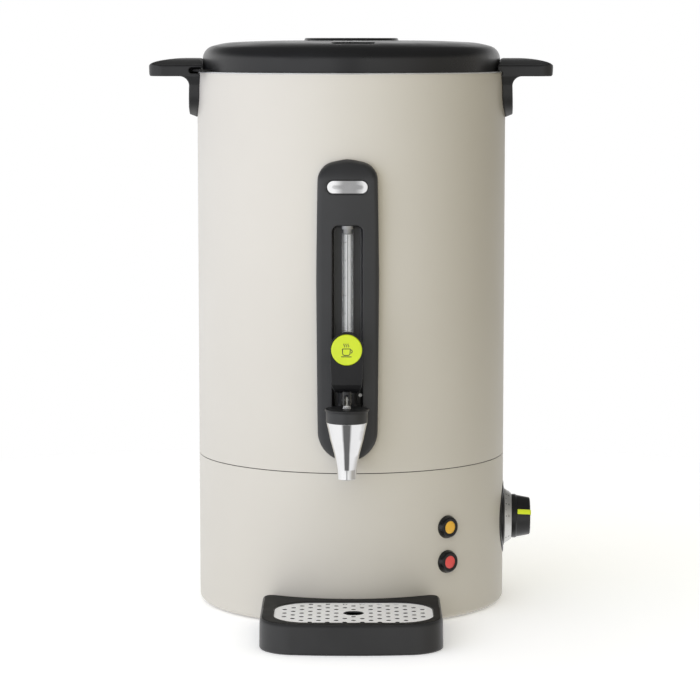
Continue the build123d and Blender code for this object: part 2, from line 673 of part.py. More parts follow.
with BuildPart() as tap_cap:
    with BuildSketch(tap_plane):
        with BuildLine():
            Polyline((STEM_R + 0.06, 184.0), (12.85, 184.0), (12.85, 188.1), (14.7, 188.1), (14.7, CAP_Z0), (18.1, CAP_Z0),
                     (18.55, CAP_Z0 + 0.5), (18.55, CAP_Z1 - 0.6), (17.9, CAP_Z1), (STEM_R + 0.06, CAP_Z1), close=True)
        make_face()
    revolve(axis=TAP_AXIS)
save(tap_cap.part, "tap_cap")

with BuildPart() as stem_gland:
    with BuildSketch(tap_plane):
        with BuildLine():
            Polyline((STEM_R + 0.06, CAP_Z1), (3.6, CAP_Z1), (3.0, CAP_Z1 + 1.2), (3.0, CAP_Z1 + 2.45),
                     (STEM_R + 0.06, CAP_Z1 + 2.45), close=True)
        make_face()
    revolve(axis=TAP_AXIS)
save(stem_gland.part, "stem_gland")

with BuildPart() as tap_washers:
    with BuildSketch(front(-148.02, TAP_Z)):
        Circle(10.5)
        Circle(6.6, mode=Mode.SUBTRACT)
    extrude(amount=1.35)
    with BuildSketch(front(-128.4, TAP_Z)):
        Circle(9.6)
        Circle(6.6, mode=Mode.SUBTRACT)
    extrude(amount=1.5)
save(tap_washers.part, "tap_washers")

with BuildPart() as tap_nut:
    with BuildSketch(front(-121.9, TAP_Z)):
        RegularPolygon(9.5, 6, major_radius=False)
        Circle(6.55, mode=Mode.SUBTRACT)
    extrude(amount=6.4)
save(tap_nut.part, "tap_nut")

# Valve: stem with its plate, silicone cup on the seat, return spring.
with BuildPart() as valve_stem:
    with BuildSketch(tap_plane):
        with BuildLine():
            Polyline((0, 168.2), (3.2, 168.2), (3.2, 169.6), (STEM_R, 169.6), (STEM_R, 171.6), (7.6, 171.6), (7.6, 172.6),
                     (STEM_R, 172.6), (STEM_R, 202.6), (0.9, 203.0), (0, 203.0), close=True)
        make_face()
    revolve(axis=TAP_AXIS)
    with BuildSketch(side(-5, TAP_Y, PIN_Z)):
        Circle(0.9)
    extrude(amount=10, mode=Mode.SUBTRACT)
save(valve_stem.part, "valve_stem")

with BuildPart() as seat_cup:
    with BuildSketch(tap_plane):
        with BuildLine():
            Polyline((0, 166.05), (8.4, 166.05), (8.4, 171.0), (7.6, 171.6), (STEM_R + 0.02, 171.6), (STEM_R + 0.02, 169.62),
                     (3.22, 169.62), (3.22, 168.18), (0, 168.18), close=True)
        make_face()
    revolve(axis=TAP_AXIS)
save(seat_cup.part, "seat_cup")

with BuildPart() as stem_spring:
    with BuildLine():
        coil = Helix(pitch=2.5, height=9.8, radius=4.6, center=(0, TAP_Y, 173.3))
    with BuildSketch(Plane(origin=coil @ 0, z_dir=coil % 0)):
        Circle(0.45)
    sweep(path=coil, is_frenet=True)
save(stem_spring.part, "stem_spring")

# Lever: paddle with a round top, crease and rounded toe, clevis over the stem.
with BuildPart() as lever:
    with BuildSketch(side(-20, 0, 0)):
        with BuildLine():
            m1 = Line((-174.0, 213.5), (-174.5, 256.6))
            m2 = RadiusArc(m1 @ 1, (-173.3, 257.8), 1.2)
            m3 = Line(m2 @ 1, (-169.8, 257.8))
            m4 = RadiusArc(m3 @ 1, (-168.6, 256.6), 1.2)
            m5 = Line(m4 @ 1, (-168.2, 240.0))
            m6 = Spline(m5 @ 1, (-166.6, 228.0), (-161.0, 217.0), (-159.5, 211.0), tangents=((0.02, -1), (0.05, -1)))
            m7 = RadiusArc(m6 @ 1, (-163.0, 206.3), 4.5)
            m8 = Line(m7 @ 1, (-168.8, 206.3))
            m9 = Spline(m8 @ 1, (-171.8, 208.2), (-174.0, 213.5), tangents=((-1, 0.05), (-0.2, 1)))
        make_face()
    extrude(amount=40)
    with BuildSketch(front(-150, 0)):
        with BuildLine():
            n1 = Line((-12.75, 214.0), (-13.75, 232.0))
            n2 = Line(n1 @ 1, (-13.65, 244.1))
            n3 = ThreePointArc(n2 @ 1, (0, 257.8), (13.65, 244.1))
            n4 = Line(n3 @ 1, (13.75, 232.0))
            n5 = Line(n4 @ 1, (12.75, 214.0))
            n6 = Spline(n5 @ 1, (11.3, 209.4), (6.8, 206.3), tangents=((-0.1, -1), (-1, -0.05)))
            n7 = Line(n6 @ 1, (-6.8, 206.3))
            n8 = Spline(n7 @ 1, (-11.3, 209.4), (-12.75, 214.0), tangents=((-1, 0.05), (-0.1, 1)))
        make_face()
    extrude(amount=40, mode=Mode.INTERSECT)
    with BuildSketch(Plane.XY.offset(195.6)):
        with Locations((0, TAP_Y)):
            Circle(4.25)
        with Locations((0, TAP_Y - 3.3)):
            Circle(3.2)
        make_hull()
    extrude(amount=12)
    # slot for the stem, open front and rear, and the pin bore
    with BuildSketch(front(-150, 0)):
        with Locations((0, 199.4)):
            Rectangle(2 * STEM_R + 0.7, 10.4)
    extrude(amount=30, mode=Mode.SUBTRACT)
    with BuildSketch(side(-5, TAP_Y, PIN_Z)):
        Circle(0.95)
    extrude(amount=10, mode=Mode.SUBTRACT)
    # pocket for the coloured disc
    with BuildSketch(front(-173.0, 242.9)):
        Circle(13.0)
    extrude(amount=5, mode=Mode.SUBTRACT)
save(lever.part, "lever")

with BuildPart() as lever_disc:
    with BuildSketch(front(-173.02, 242.9)):
        Circle(12.9)
    extrude(amount=2.4)
    fillet(lever_disc.faces().sort_by(Axis.Y)[0].edges(), 0.6)
save(lever_disc.part, "lever_disc")

with BuildPart() as lever_pin:
    with BuildSketch(side(-4.2, TAP_Y, PIN_Z)):
        Circle(0.89)
    extrude(amount=8.4)
save(lever_pin.part, "lever_pin")

# ============================================================ lamps
def lamp(z):
    return radial(LAMP_A, 0, z)


def ring_points(z, r):
    return radial(LAMP_A, r, z)


with BuildPart() as lamp_bezels:
    for z in LAMP_Z:
        with BuildSketch(ring_points(z, 135.4)):
            Circle(10.2)
        extrude(amount=4.6, taper=19)
    rims = lamp_bezels.edges().filter_by(GeomType.CIRCLE)
    far = [e for e in rims if math.hypot(e.arc_center.X, e.arc_center.Y) > 139]
    fillet(far, 0.6)
    with BuildSketch(Plane.XY.offset(35)):
        Circle(BODY_R + 0.03)
    extrude(amount=65, mode=Mode.SUBTRACT)
    for z in LAMP_Z:
        with BuildSketch(ring_points(z, 117.0)):
            Circle(7.1)
        extrude(amount=20.0)
        with BuildSketch(ring_points(z, 116.0)):
            Circle(5.3)
        extrude(amount=30, mode=Mode.SUBTRACT)
        with BuildSketch(ring_points(z, 137.4)):
            Circle(6.45)
        extrude(amount=5, mode=Mode.SUBTRACT)
save(lamp_bezels.part, "lamp_bezels")

for z, name in zip(LAMP_Z, ("lamp_lens_amber", "lamp_lens_red")):
    with BuildPart() as lens:
        with BuildSketch(ring_points(z, 137.42)):
            Circle(6.4)
        extrude(amount=2.6)
        with BuildSketch(ring_points(z, 134.6)):
            Circle(5.2)
            Circle(4.5, mode=Mode.SUBTRACT)
        extrude(amount=3.0)
        outer = [e for e in lens.edges().filter_by(GeomType.CIRCLE) if math.hypot(e.arc_center.X, e.arc_center.Y) > 139.9]
        fillet(outer, 1.2)
    save(lens.part, name)

with BuildPart() as lamp_nuts:
    for z in LAMP_Z:
        with BuildSketch(ring_points(z, 130.6)):
            RegularPolygon(9.4, 6, major_radius=True)
            Circle(7.15, mode=Mode.SUBTRACT)
        extrude(amount=3.7)
save(lamp_nuts.part, "lamp_nuts")

with BuildPart() as lamp_bulbs:
    for z in LAMP_Z:
        with BuildSketch(ring_points(z, 110.0)):
            Circle(4.4)
        extrude(amount=23.5)
save(lamp_bulbs.part, "lamp_bulbs")

# ============================================================ thermostat and knob
knob_plane = Plane(origin=(0, 0, KNOB_Z), x_dir=(1, 0, 0), z_dir=(0, -1, 0))

# Bezel: round boss with a thin saddle flange that follows the drum.
with BuildPart() as bezel_flange:
    with BuildSketch(side(120, 0, KNOB_Z)):
        Circle(34.5)
    extrude(amount=15.9)
    with BuildSketch(Plane.XY.offset(30)):
        Circle(BODY_R + 1.0)
    extrude(amount=90, mode=Mode.INTERSECT)

with BuildPart() as knob_bezel:
    with BuildSketch(knob_plane):
        with BuildLine():
            Polyline((126, 10.2), (137.1, 10.2), (137.1, 25.9), (136.2, 26.8), (126, 27.2), close=True)
        make_face()
    revolve(axis=X_AXIS_KNOB)
    with BuildSketch(side(119, 0, KNOB_Z)):
        Circle(10.2)
    extrude(amount=20, mode=Mode.SUBTRACT)
    add(bezel_flange.part)
    with BuildSketch(side(119, 0, KNOB_Z)):
        Circle(10.2)
    extrude(amount=20, mode=Mode.SUBTRACT)
    with BuildSketch(Plane.XY.offset(30)):
        Circle(BODY_R + 0.03)
    extrude(amount=90, mode=Mode.SUBTRACT)
save(knob_bezel.part, "knob_bezel")

with BuildPart() as dial_ring:
    with BuildSketch(knob_plane):
        with BuildLine():
            Polyline((137.1, 10.2), (142.6, 10.2), (143.6, 11.0), (143.6, 20.4), (143.3, 20.9), (137.6, 24.7), (137.1, 24.7),
                     close=True)
        make_face()
    revolve(axis=X_AXIS_KNOB)
save(dial_ring.part, "dial_ring")

ang = math.radians(POINTER_A)
pointer_dir = (0, -math.cos(ang), math.sin(ang))


def pointer_block(x0, x1, r0, r1, w):
    """Block across the knob's side: x0..x1 along the axis, r0..r1 out from it, w wide."""
    pl = Plane(origin=(0, 0, KNOB_Z), x_dir=(1, 0, 0), z_dir=pointer_dir).offset(r0)
    with BuildPart() as blk:
        with BuildSketch(pl):
            with Locations(((x0 + x1) / 2, 0)):
                Rectangle(x1 - x0, w)
        extrude(amount=r1 - r0)
    return blk.part


with BuildPart() as knob:
    with BuildSketch(knob_plane):
        with BuildLine():
            g1 = Line((143.9, 12.0), (143.9, 19.2))
            g2 = RadiusArc(g1 @ 1, (144.3, 19.6), 0.4)
            g3 = Line(g2 @ 1, (147.2, 19.6))
            g4 = Spline(g3 @ 1, (148.6, 18.7), (153.0, 17.9), (159.6, 16.6), tangents=((1, -0.3), (1, -0.18)))
            g5 = RadiusArc(g4 @ 1, (160.4, 15.7), 0.9)
            g6 = Line(g5 @ 1, (160.4, 0))
            g7 = Line(g6 @ 1, (157.8, 0))
            g8 = Line(g7 @ 1, (157.8, 3.0))
            g9 = Line(g8 @ 1, (146.5, 3.0))
            g10 = Line(g9 @ 1, (146.5, 6.5))
            g11 = Line(g10 @ 1, (157.0, 6.5))
            g12 = Line(g11 @ 1, (157.0, 12.0))
            Line(g12 @ 1, (143.9, 12.0))
        make_face()
    revolve(axis=X_AXIS_KNOB)
    add(pointer_block(148.8, 170, 13.6, 30, 4.5), mode=Mode.SUBTRACT)
save(knob.part, "knob")

# Pointer: coloured inlay along the knob's side, turned over its front edge.
with BuildPart() as knob_pointer:
    with BuildSketch(knob_plane):
        with BuildLine():
            Polyline((148.85, 13.65), (160.9, 13.65), (160.9, 16.3), (160.2, 17.0), (153.0, 18.4), (148.85, 19.1), close=True)
        make_face()
    revolve(axis=X_AXIS_KNOB)
    add(pointer_block(140, 170, 13.65, 30, 4.4), mode=Mode.INTERSECT)
save(knob_pointer.part, "knob_pointer")

with BuildPart() as thermostat_spindle:
    with BuildSketch(side(122.0, 0, KNOB_Z)):
        Circle(3.0)
    extrude(amount=35.7)
save(thermostat_spindle.part, "thermostat_spindle")

with BuildPart() as thermostat_body:
    with BuildSketch(side(104.0, 0, KNOB_Z)):
        RectangleRounded(38, 44, 3)
    extrude(amount=25.0)
    with BuildSketch(side(129.0, 0, KNOB_Z)):
        Circle(5.0)
    extrude(amount=12.0)
    with BuildSketch(side(121.5, 0, KNOB_Z)):
        Circle(3.06)
    extrude(amount=30, mode=Mode.SUBTRACT)
save(thermostat_body.part, "thermostat_body")

with BuildPart() as thermostat_nut:
    with BuildSketch(side(136.4, 0, KNOB_Z)):
        RegularPolygon(7.0, 6, major_radius=False)
        Circle(5.05, mode=Mode.SUBTRACT)
    extrude(amount=2.6)
save(thermostat_nut.part, "thermostat_nut")

# Capillary from the thermostat to the bulb under the heat spreader.
with BuildPart() as thermostat_capillary:
    with BuildLine():
        cap_line = FilletPolyline((112, -12, 95.45), (112, -12, 137.6), (82, -12, 137.6), (82, 2, 137.6), radius=6.0)
    with BuildSketch(Plane(origin=(112, -12, 95.45), z_dir=(0, 0, 1))):
        Circle(1.0)
    sweep(path=cap_line)
    with BuildSketch(Plane(origin=(82, 2, 137.6), x_dir=(1, 0, 0), z_dir=(0, 1, 0))):
        Circle(3.0)
    extrude(amount=36)
save(thermostat_capillary.part, "thermostat_capillary")

# ============================================================ heater and wiring
with BuildPart() as heat_spreader:
    with BuildSketch(Plane.XY.offset(TANK_FLOOR_Z - 4.0)):
        Circle(92.0)
    extrude(amount=4.0)
save(heat_spreader.part, "heat_spreader")

with BuildPart() as heating_element:
    with BuildSketch(Plane.XZ):
        with Locations((60.0, TANK_FLOOR_Z - 7.55)):
            Circle(3.5)
    revolve(axis=Z_AXIS, revolution_arc=325)
    for a in (0, 325):
        x, y = 60 * math.cos(math.radians(a)), 60 * math.sin(math.radians(a))
        with BuildSketch(Plane.XY.offset(118)):
            with Locations((x, y)):
                Circle(2.4)
        extrude(amount=20)
save(heating_element.part, "heating_element")

with BuildPart() as thermal_cutout:
    with BuildSketch(Plane.XY.offset(TANK_FLOOR_Z - 12.0)):
        Circle(8.0)
    extrude(amount=7.95)
    with BuildSketch(Plane.XY.offset(TANK_FLOOR_Z - 13.2)):
        Rectangle(30, 6)
    extrude(amount=1.3)
save(thermal_cutout.part, "thermal_cutout")

with BuildPart() as terminal_block:
    with BuildSketch(Plane.XY.offset(PLATE_Z + 1.2)):
        with Locations((0, 84)):
            Rectangle(46, 18)
    extrude(amount=16)
    with BuildSketch(Plane.XY.offset(PLATE_Z + 10)):
        with Locations((0, 84)):
            with GridLocations(14, 1, 3, 1):
                Circle(2.6)
    extrude(amount=20, mode=Mode.SUBTRACT)
save(terminal_block.part, "terminal_block")

# Wires: terminal block to the element's two ends and to the thermostat.
def wire(points, r, rad):
    with BuildPart() as w:
        with BuildLine():
            path = FilletPolyline(*points, radius=rad)
        d = Vector(*points[1]) - Vector(*points[0])
        with BuildSketch(Plane(origin=points[0], z_dir=d.normalized())):
            Circle(r)
        sweep(path=path)
    return w.part


wires = [
    wire([(14, 84, 12.65), (14, 84, 60), (60, 30, 60), (60, 0, 60), (60, 0, 117.9)], 1.4, 10),
    wire([(-14, 84, 12.65), (-14, 84, 48), (-20, 20, 48), (49.149, -34.415, 48), (49.149, -34.415, 117.9)], 1.4, 10),
    wire([(0, 84, 12.65), (0, 84, 36), (60, 50, 36), (112, 8, 36), (112, 8, 51.3)], 1.4, 6),
]
with BuildPart() as wiring:
    for w in wires:
        add(w)
save(wiring.part, "wiring")

# Cable gland, rear: bored for the mains lead, with its inner nut.
with BuildPart() as cable_gland:
    with BuildSketch(radial(180, 124.0, 30)):
        Circle(8.0)
    extrude(amount=12.1)
    with BuildSketch(radial(180, 136.05, 30)):
        RegularPolygon(11.0, 6, major_radius=False)
    extrude(amount=4.0)
    with BuildSketch(radial(180, 140.05, 30)):
        Circle(9.0)
    extrude(amount=5.0)
    fillet(cable_gland.faces().sort_by(Axis.Y)[-1].edges(), 1.5)
    with BuildSketch(radial(180, 123.0, 30)):
        Circle(4.2)
    extrude(amount=30, mode=Mode.SUBTRACT)
save(cable_gland.part, "cable_gland")

with BuildPart() as gland_nut:
    with BuildSketch(radial(180, 130.2, 30)):
        RegularPolygon(11.0, 6, major_radius=False)
        Circle(8.05, mode=Mode.SUBTRACT)
    extrude(amount=4.0)
save(gland_nut.part, "gland_nut")

# ============================================================ drip tray
turn = Axis((0, 0, 0), (0, 0, 1))
with BuildPart() as tray_base:
    with BuildSketch(Plane.XY):
        # straight sides, bowed front, rear edge hollowed round the drum
        with Locations((TRAY_X, 0)):
            with BuildLine():
                f1 = Line((-TRAY_W, -60), (-TRAY_W, -TRAY_FRONT + 7.6))
                f2 = ThreePointArc(f1 @ 1, (0, -TRAY_FRONT), (TRAY_W, -TRAY_FRONT + 7.6))
                f3 = Line(f2 @ 1, (TRAY_W, -60))
                Line(f3 @ 1, f1 @ 0)
            make_face()
        fillet(vertices().group_by(Axis.Y)[0], 31)
        with BuildSketch(mode=Mode.SUBTRACT):
            Circle(BODY_R + 1.6)
        fillet(vertices().group_by(Axis.Y)[-1], 8)
    extrude(amount=TRAY_TOP, taper=1.0)
    fillet(tray_base.faces().sort_by(Axis.Z)[-1].edges(), 3.2)
    fillet(tray_base.faces().sort_by(Axis.Z)[0].edges(), 1.0)
    # rebate for the grille and the basin under it
    with BuildSketch(Plane.XY.offset(23.2)):
        with Locations((TRAY_X, GRILLE_Y)):
            RectangleRounded(132.8, 83.0, 30.4)
    extrude(amount=5, mode=Mode.SUBTRACT)
    with BuildSketch(Plane.XY.offset(2.6)):
        with Locations((TRAY_X, GRILLE_Y)):
            RectangleRounded(124, 74.2, 26)
    extrude(amount=25, mode=Mode.SUBTRACT)

with BuildPart() as drip_tray:
    add(tray_base.part.rotate(turn, TRAY_TURN))
save(drip_tray.part, "drip_tray")

HOLE_PX, HOLE_PY = 7.2, 14.4
with BuildPart() as grille_base:
    with BuildSketch(Plane.XY.offset(23.2)):
        with Locations((TRAY_X, GRILLE_Y)):
            RectangleRounded(132, 82.2, 30)
            Circle(8.5, mode=Mode.SUBTRACT)
        for i in range(-8, 9):
            for j in range(-3, 4):
                x = i * HOLE_PX
                y = (j + (0.5 if i % 2 else 0)) * HOLE_PY
                # keep the holes inside the rounded outline and off the middle hole
                ex, ey = max(abs(x) - 36, 0), max(abs(y) - 10, 0)
                if math.hypot(ex, ey) > 26.2 or math.hypot(x, y) < 12.5 or abs(y) > 37:
                    continue
                with Locations((TRAY_X + x, GRILLE_Y + y)):
                    Circle(2.0, mode=Mode.SUBTRACT)
    extrude(amount=1.4)

with BuildPart() as drip_grille:
    add(grille_base.part.rotate(turn, TRAY_TURN))
save(drip_grille.part, "drip_grille")
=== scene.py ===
import json
import math

import bmesh
import bpy
from mathutils import Matrix, Vector, geometry


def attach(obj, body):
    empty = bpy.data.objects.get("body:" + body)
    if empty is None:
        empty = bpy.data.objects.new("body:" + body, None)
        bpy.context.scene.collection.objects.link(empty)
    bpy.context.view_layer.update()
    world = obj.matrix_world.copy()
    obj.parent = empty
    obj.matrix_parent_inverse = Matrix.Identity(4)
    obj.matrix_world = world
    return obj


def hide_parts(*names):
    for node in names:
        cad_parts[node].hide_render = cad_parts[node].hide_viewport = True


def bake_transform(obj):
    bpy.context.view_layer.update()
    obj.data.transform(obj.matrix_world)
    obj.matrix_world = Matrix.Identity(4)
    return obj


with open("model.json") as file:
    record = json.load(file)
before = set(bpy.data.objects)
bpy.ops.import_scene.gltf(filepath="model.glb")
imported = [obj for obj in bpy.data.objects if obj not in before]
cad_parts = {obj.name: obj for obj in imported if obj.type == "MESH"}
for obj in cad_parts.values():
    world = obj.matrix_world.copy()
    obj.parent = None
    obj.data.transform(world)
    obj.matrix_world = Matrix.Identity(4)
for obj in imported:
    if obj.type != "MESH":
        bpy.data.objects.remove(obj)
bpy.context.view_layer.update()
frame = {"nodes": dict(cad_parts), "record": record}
NODES = frame["nodes"]
RECORD = frame["record"]
BODY = {n: b for b, ns in RECORD["behaviour"]["bodies"].items() for n in ns}
SLOT = {s["node"]: s["material_slot"] for s in RECORD["subparts"]}
MM = 0.001

# ------------------------------------------------------------------ sizes (mm)
BODY_R = 136.0
SEAM_Z = 132.7
RIM_Z = 471.2
PANEL_R = 148.0
TAP_Y = -167.0
TUBE_Y = -143.0
PIN_Z = 200.0
KNOB_Z = 73.4
POINTER_A = 21.0
LAMP_A = 38.7
LAMP_Z = (82.0, 51.7)
TRAY_TURN = 1.25
LID_MARK = 2.2

# ================================================================== materials


def srgb(r, g, b):
    def lin(c):
        c /= 255.0
        return c / 12.92 if c <= 0.04045 else ((c + 0.055) / 1.055) ** 2.4
    return (lin(r), lin(g), lin(b), 1.0)


class Mat:
    """A small node-graph writer round one Principled shader."""

    def __init__(self, name, **sockets):
        self.m = bpy.data.materials.new(name)
        self.m.use_nodes = True
        self.t = self.m.node_tree
        self.t.nodes.clear()
        self.out = self.t.nodes.new("ShaderNodeOutputMaterial")
        self.p = self.t.nodes.new("ShaderNodeBsdfPrincipled")
        self.t.links.new(self.p.outputs[0], self.out.inputs["Surface"])
        for k, v in sockets.items():
            self.p.inputs[k.replace("_", " ")].default_value = v
        self.coord = None

    def node(self, kind, **props):
        n = self.t.nodes.new(kind)
        for k, v in props.items():
            setattr(n, k, v)
        return n

    def link(self, a, b):
        self.t.links.new(a, b)

    def obj(self):
        if self.coord is None:
            self.coord = self.node("ShaderNodeTexCoord").outputs["Object"]
        return self.coord

    def mapped(self, scale=(1, 1, 1), rot=(0, 0, 0), loc=(0, 0, 0)):
        n = self.node("ShaderNodeMapping")
        n.inputs["Scale"].default_value = scale
        n.inputs["Rotation"].default_value = rot
        n.inputs["Location"].default_value = loc
        self.link(self.obj(), n.inputs["Vector"])
        return n.outputs[0]

    def noise(self, scale, detail=2.0, rough=0.5, vector=None, dims="3D"):
        n = self.node("ShaderNodeTexNoise", noise_dimensions=dims)
        n.inputs["Scale"].default_value = scale
        n.inputs["Detail"].default_value = detail
        n.inputs["Roughness"].default_value = rough
        self.link(vector or self.obj(), n.inputs["Vector"])
        return n.outputs[0]

    def ramp(self, fac, lo, hi, a=0.3, b=0.7):
        """Maps fac from a..b to lo..hi."""
        n = self.node("ShaderNodeMapRange")
        n.inputs["From Min"].default_value = a
        n.inputs["From Max"].default_value = b
        n.inputs["To Min"].default_value = lo
        n.inputs["To Max"].default_value = hi
        self.link(fac, n.inputs["Value"])
        return n.outputs[0]

    def mix(self, fac, a, b):
        n = self.node("ShaderNodeMix", data_type="RGBA")
        ins = [i for i in n.inputs if i.type == "RGBA"]
        ins[0].default_value, ins[1].default_value = a, b
        self.link(fac, n.inputs[0])
        return [o for o in n.outputs if o.type == "RGBA"][0]

    def colour(self, fac, a, b):
        self.link(self.mix(fac, a, b), self.p.inputs["Base Color"])
        return self

    def rough(self, socket):
        self.link(socket, self.p.inputs["Roughness"])
        return self

    def bump(self, height, strength, distance, after=None):
        n = self.node("ShaderNodeBump")
        n.inputs["Strength"].default_value = strength
        n.inputs["Distance"].default_value = distance
        self.link(height, n.inputs["Height"])
        if after is not None:
            self.link(after, n.inputs["Normal"])
        self.link(n.outputs[0], self.p.inputs["Normal"])
        return n.outputs[0]


def shade(c, k):
    return (min(c[0] * k, 1), min(c[1] * k, 1), min(c[2] * k, 1), 1.0)


def moulded(name, base, rough, grain=2600.0, grain_depth=0.000035, coat=0.0, spec=0.5):
    """Moulded plastic: fine spark-eroded grain, slight gloss patches, faint colour change."""
    m = Mat(name, Specular_IOR_Level=spec)
    m.p.inputs["Coat Weight"].default_value = coat
    big = m.noise(23.0, 3.0)
    m.colour(m.ramp(big, 0.0, 1.0), shade(base, 0.90), shade(base, 1.12))
    m.rough(m.ramp(m.noise(41.0, 4.0, 0.6), rough - 0.035, rough + 0.045))
    b1 = m.bump(m.noise(grain, 2.0, 0.6), 0.55, grain_depth)
    m.bump(m.noise(120.0, 2.0), 0.12, 0.00012, after=b1)
    return m.m


def metal(name, base, rough, brush=None, brush_depth=0.00001, spread=0.05):
    """Bare metal. brush = mapping scale that stretches the scratches along one direction."""
    m = Mat(name, Metallic=1.0)
    if brush:
        lines = m.noise(1.0, 3.0, 0.65, m.mapped(brush))
        m.colour(m.ramp(lines, 0.0, 1.0), shade(base, 0.93), shade(base, 1.05))
        m.rough(m.ramp(lines, rough - spread, rough + spread))
        m.bump(lines, 0.5, brush_depth)
    else:
        n = m.noise(60.0, 4.0, 0.6)
        m.colour(m.ramp(n, 0.0, 1.0), shade(base, 0.97), shade(base, 1.02))
        m.rough(m.ramp(n, max(rough - spread * 0.4, 0.01), rough + spread * 0.4))
        m.bump(m.noise(700.0, 2.0), 0.06, 0.00002)
    return m.m


MATS = {}

# painted skins: satin greige powder coat with a very fine orange peel
PAINT = (0.600, 0.572, 0.508, 1.0)
m = Mat("body_paint", Specular_IOR_Level=0.3)
m.p.inputs["Coat Weight"].default_value = 0.04
m.p.inputs["Coat Roughness"].default_value = 0.34
m.p.inputs["Metallic"].default_value = 0.03
cloud = m.noise(5.5, 4.0, 0.55)
fleck = m.noise(2900.0, 1.0)
tone = m.node("ShaderNodeMath", operation="MULTIPLY_ADD")
m.link(fleck, tone.inputs[0])
tone.inputs[1].default_value = 0.25
m.link(cloud, tone.inputs[2])
m.colour(m.ramp(tone.outputs[0], 0.0, 1.0, 0.35, 0.95), shade(PAINT, 0.972), shade(PAINT, 1.022))
m.rough(m.ramp(m.noise(17.0, 5.0, 0.6), 0.40, 0.47))
peel = m.bump(m.noise(900.0, 2.0, 0.5), 0.22, 0.00003)
m.bump(m.noise(3600.0, 1.0), 0.12, 0.00001, after=peel)
MATS["body_paint"] = m.m

MATS["black_plastic"] = moulded("black_plastic", (0.013, 0.013, 0.0134, 1), 0.38)
MATS["grey_plastic"] = moulded("grey_plastic", (0.0235, 0.0238, 0.0242, 1), 0.40)
MATS["lid_plastic"] = moulded("lid_plastic", (0.0085, 0.0085, 0.009, 1), 0.30, grain=3200.0, grain_depth=0.00002)
MATS["knob_black"] = moulded("knob_black", (0.010, 0.010, 0.0108, 1), 0.33)
MATS["lever_black"] = moulded("lever_black", (0.0055, 0.0055, 0.006, 1), 0.22, grain=3200.0, grain_depth=0.00001)
MATS["tray_black"] = moulded("tray_black", (0.0225, 0.0226, 0.023, 1), 0.40, spec=0.46)
# painted shade: a darker, duller copy of the tray black for the tray's upward faces, standing in for the shade on its
# top
MATS["tray_top_painted_shade"] = moulded("tray_top_painted_shade", (0.010, 0.010, 0.0104, 1), 0.55, spec=0.12)
MATS["lime_bright"] = moulded("lime_bright", (0.70, 0.82, 0.02, 1), 0.30, grain=3200.0, grain_depth=0.00001)
MATS["dark_rubber"] = moulded("dark_rubber", (0.012, 0.012, 0.012, 1), 0.62, grain=1500.0, grain_depth=0.00006)
MATS["silicone"] = moulded("silicone", (0.26, 0.26, 0.255, 1), 0.5, grain=1200.0)
MATS["white_plastic"] = moulded("white_plastic", (0.70, 0.68, 0.62, 1), 0.42)
MATS["wire_insulation"] = moulded("wire_insulation", (0.42, 0.05, 0.035, 1), 0.45)
MATS["lime_plastic"] = moulded("lime_plastic", (0.56, 0.68, 0.008, 1), 0.30, grain=3200.0, grain_depth=0.00001, coat=0.3)
MATS["scale_print"] = moulded("scale_print", (0.96, 0.96, 0.95, 1), 0.35, grain=1500.0, grain_depth=0.00001)
MATS["felt"] = moulded("felt", (0.62, 0.58, 0.48, 1), 0.9, grain=600.0, grain_depth=0.0004)
MATS["ink"] = moulded("ink", (0.022, 0.022, 0.024, 1), 0.5)

MATS["stainless"] = metal("stainless", (0.66, 0.66, 0.65, 1), 0.24, brush=(90, 90, 4200))
MATS["stainless"].node_tree.nodes["Principled BSDF"].inputs["Metallic"].default_value = 0.55
MATS["polished_steel"] = metal("polished_steel", (0.80, 0.80, 0.805, 1), 0.075)
MATS["zinc_steel"] = metal("zinc_steel", (0.55, 0.56, 0.57, 1), 0.36)
MATS["aluminium"] = metal("aluminium", (0.72, 0.73, 0.74, 1), 0.38)
# painted shade: dark steel for the walls of the grille's holes, standing in for the shade inside them
MATS["grille_hole_painted_shade"] = metal("grille_hole_painted_shade", (0.10, 0.10, 0.10, 1), 0.5)
MATS["brass"] = metal("brass", (0.72, 0.50, 0.20, 1), 0.25)
MATS["copper"] = metal("copper", (0.70, 0.36, 0.22, 1), 0.28)
MATS["grille_steel"] = metal("grille_steel", (0.97, 0.97, 0.975, 1), 0.52, brush=(60, 2600, 60))
MATS["grille_steel"].node_tree.nodes["Principled BSDF"].inputs["Metallic"].default_value = 0.35

# dial ring: sprayed silver
m = Mat("dial_silver", Metallic=0.75)
m.colour(m.ramp(m.noise(2600.0, 1.0), 0.0, 1.0), (0.60, 0.60, 0.59, 1), (0.70, 0.70, 0.69, 1))
m.rough(m.ramp(m.noise(90.0, 4.0), 0.36, 0.42))
m.bump(m.noise(2600.0, 1.0), 0.3, 0.00001)
MATS["dial_silver"] = m.m


def clear(name, base, rough, ior=1.47, weight=1.0, alpha_noise=40.0):
    m = Mat(name, IOR=ior)
    m.p.inputs["Transmission Weight"].default_value = weight
    n = m.noise(alpha_noise, 3.0)
    m.colour(m.ramp(n, 0.0, 1.0), shade(base, 0.98), shade(base, 1.0))
    m.rough(m.ramp(n, rough, rough + 0.03))
    return m.m


MATS["sight_glass"] = clear("sight_glass", (0.98, 0.99, 0.99, 1), 0.02, ior=1.33)
MATS["sight_glass"].node_tree.nodes["Principled BSDF"].inputs["Alpha"].default_value = 0.26
MATS["neon_glass"] = clear("neon_glass", (0.95, 0.80, 0.65, 1), 0.05)
MATS["amber_lens"] = clear("amber_lens", (1.0, 0.56, 0.06, 1), 0.10, ior=1.49, weight=0.15)
MATS["red_lens"] = clear("red_lens", (0.92, 0.11, 0.10, 1), 0.10, ior=1.49, weight=0.15)

for node, obj in NODES.items():
    mat = MATS[SLOT[node]]
    if not obj.material_slots:
        obj.data.materials.append(mat)
    for s in obj.material_slots:
        s.material = mat

# ================================================================== mesh tools


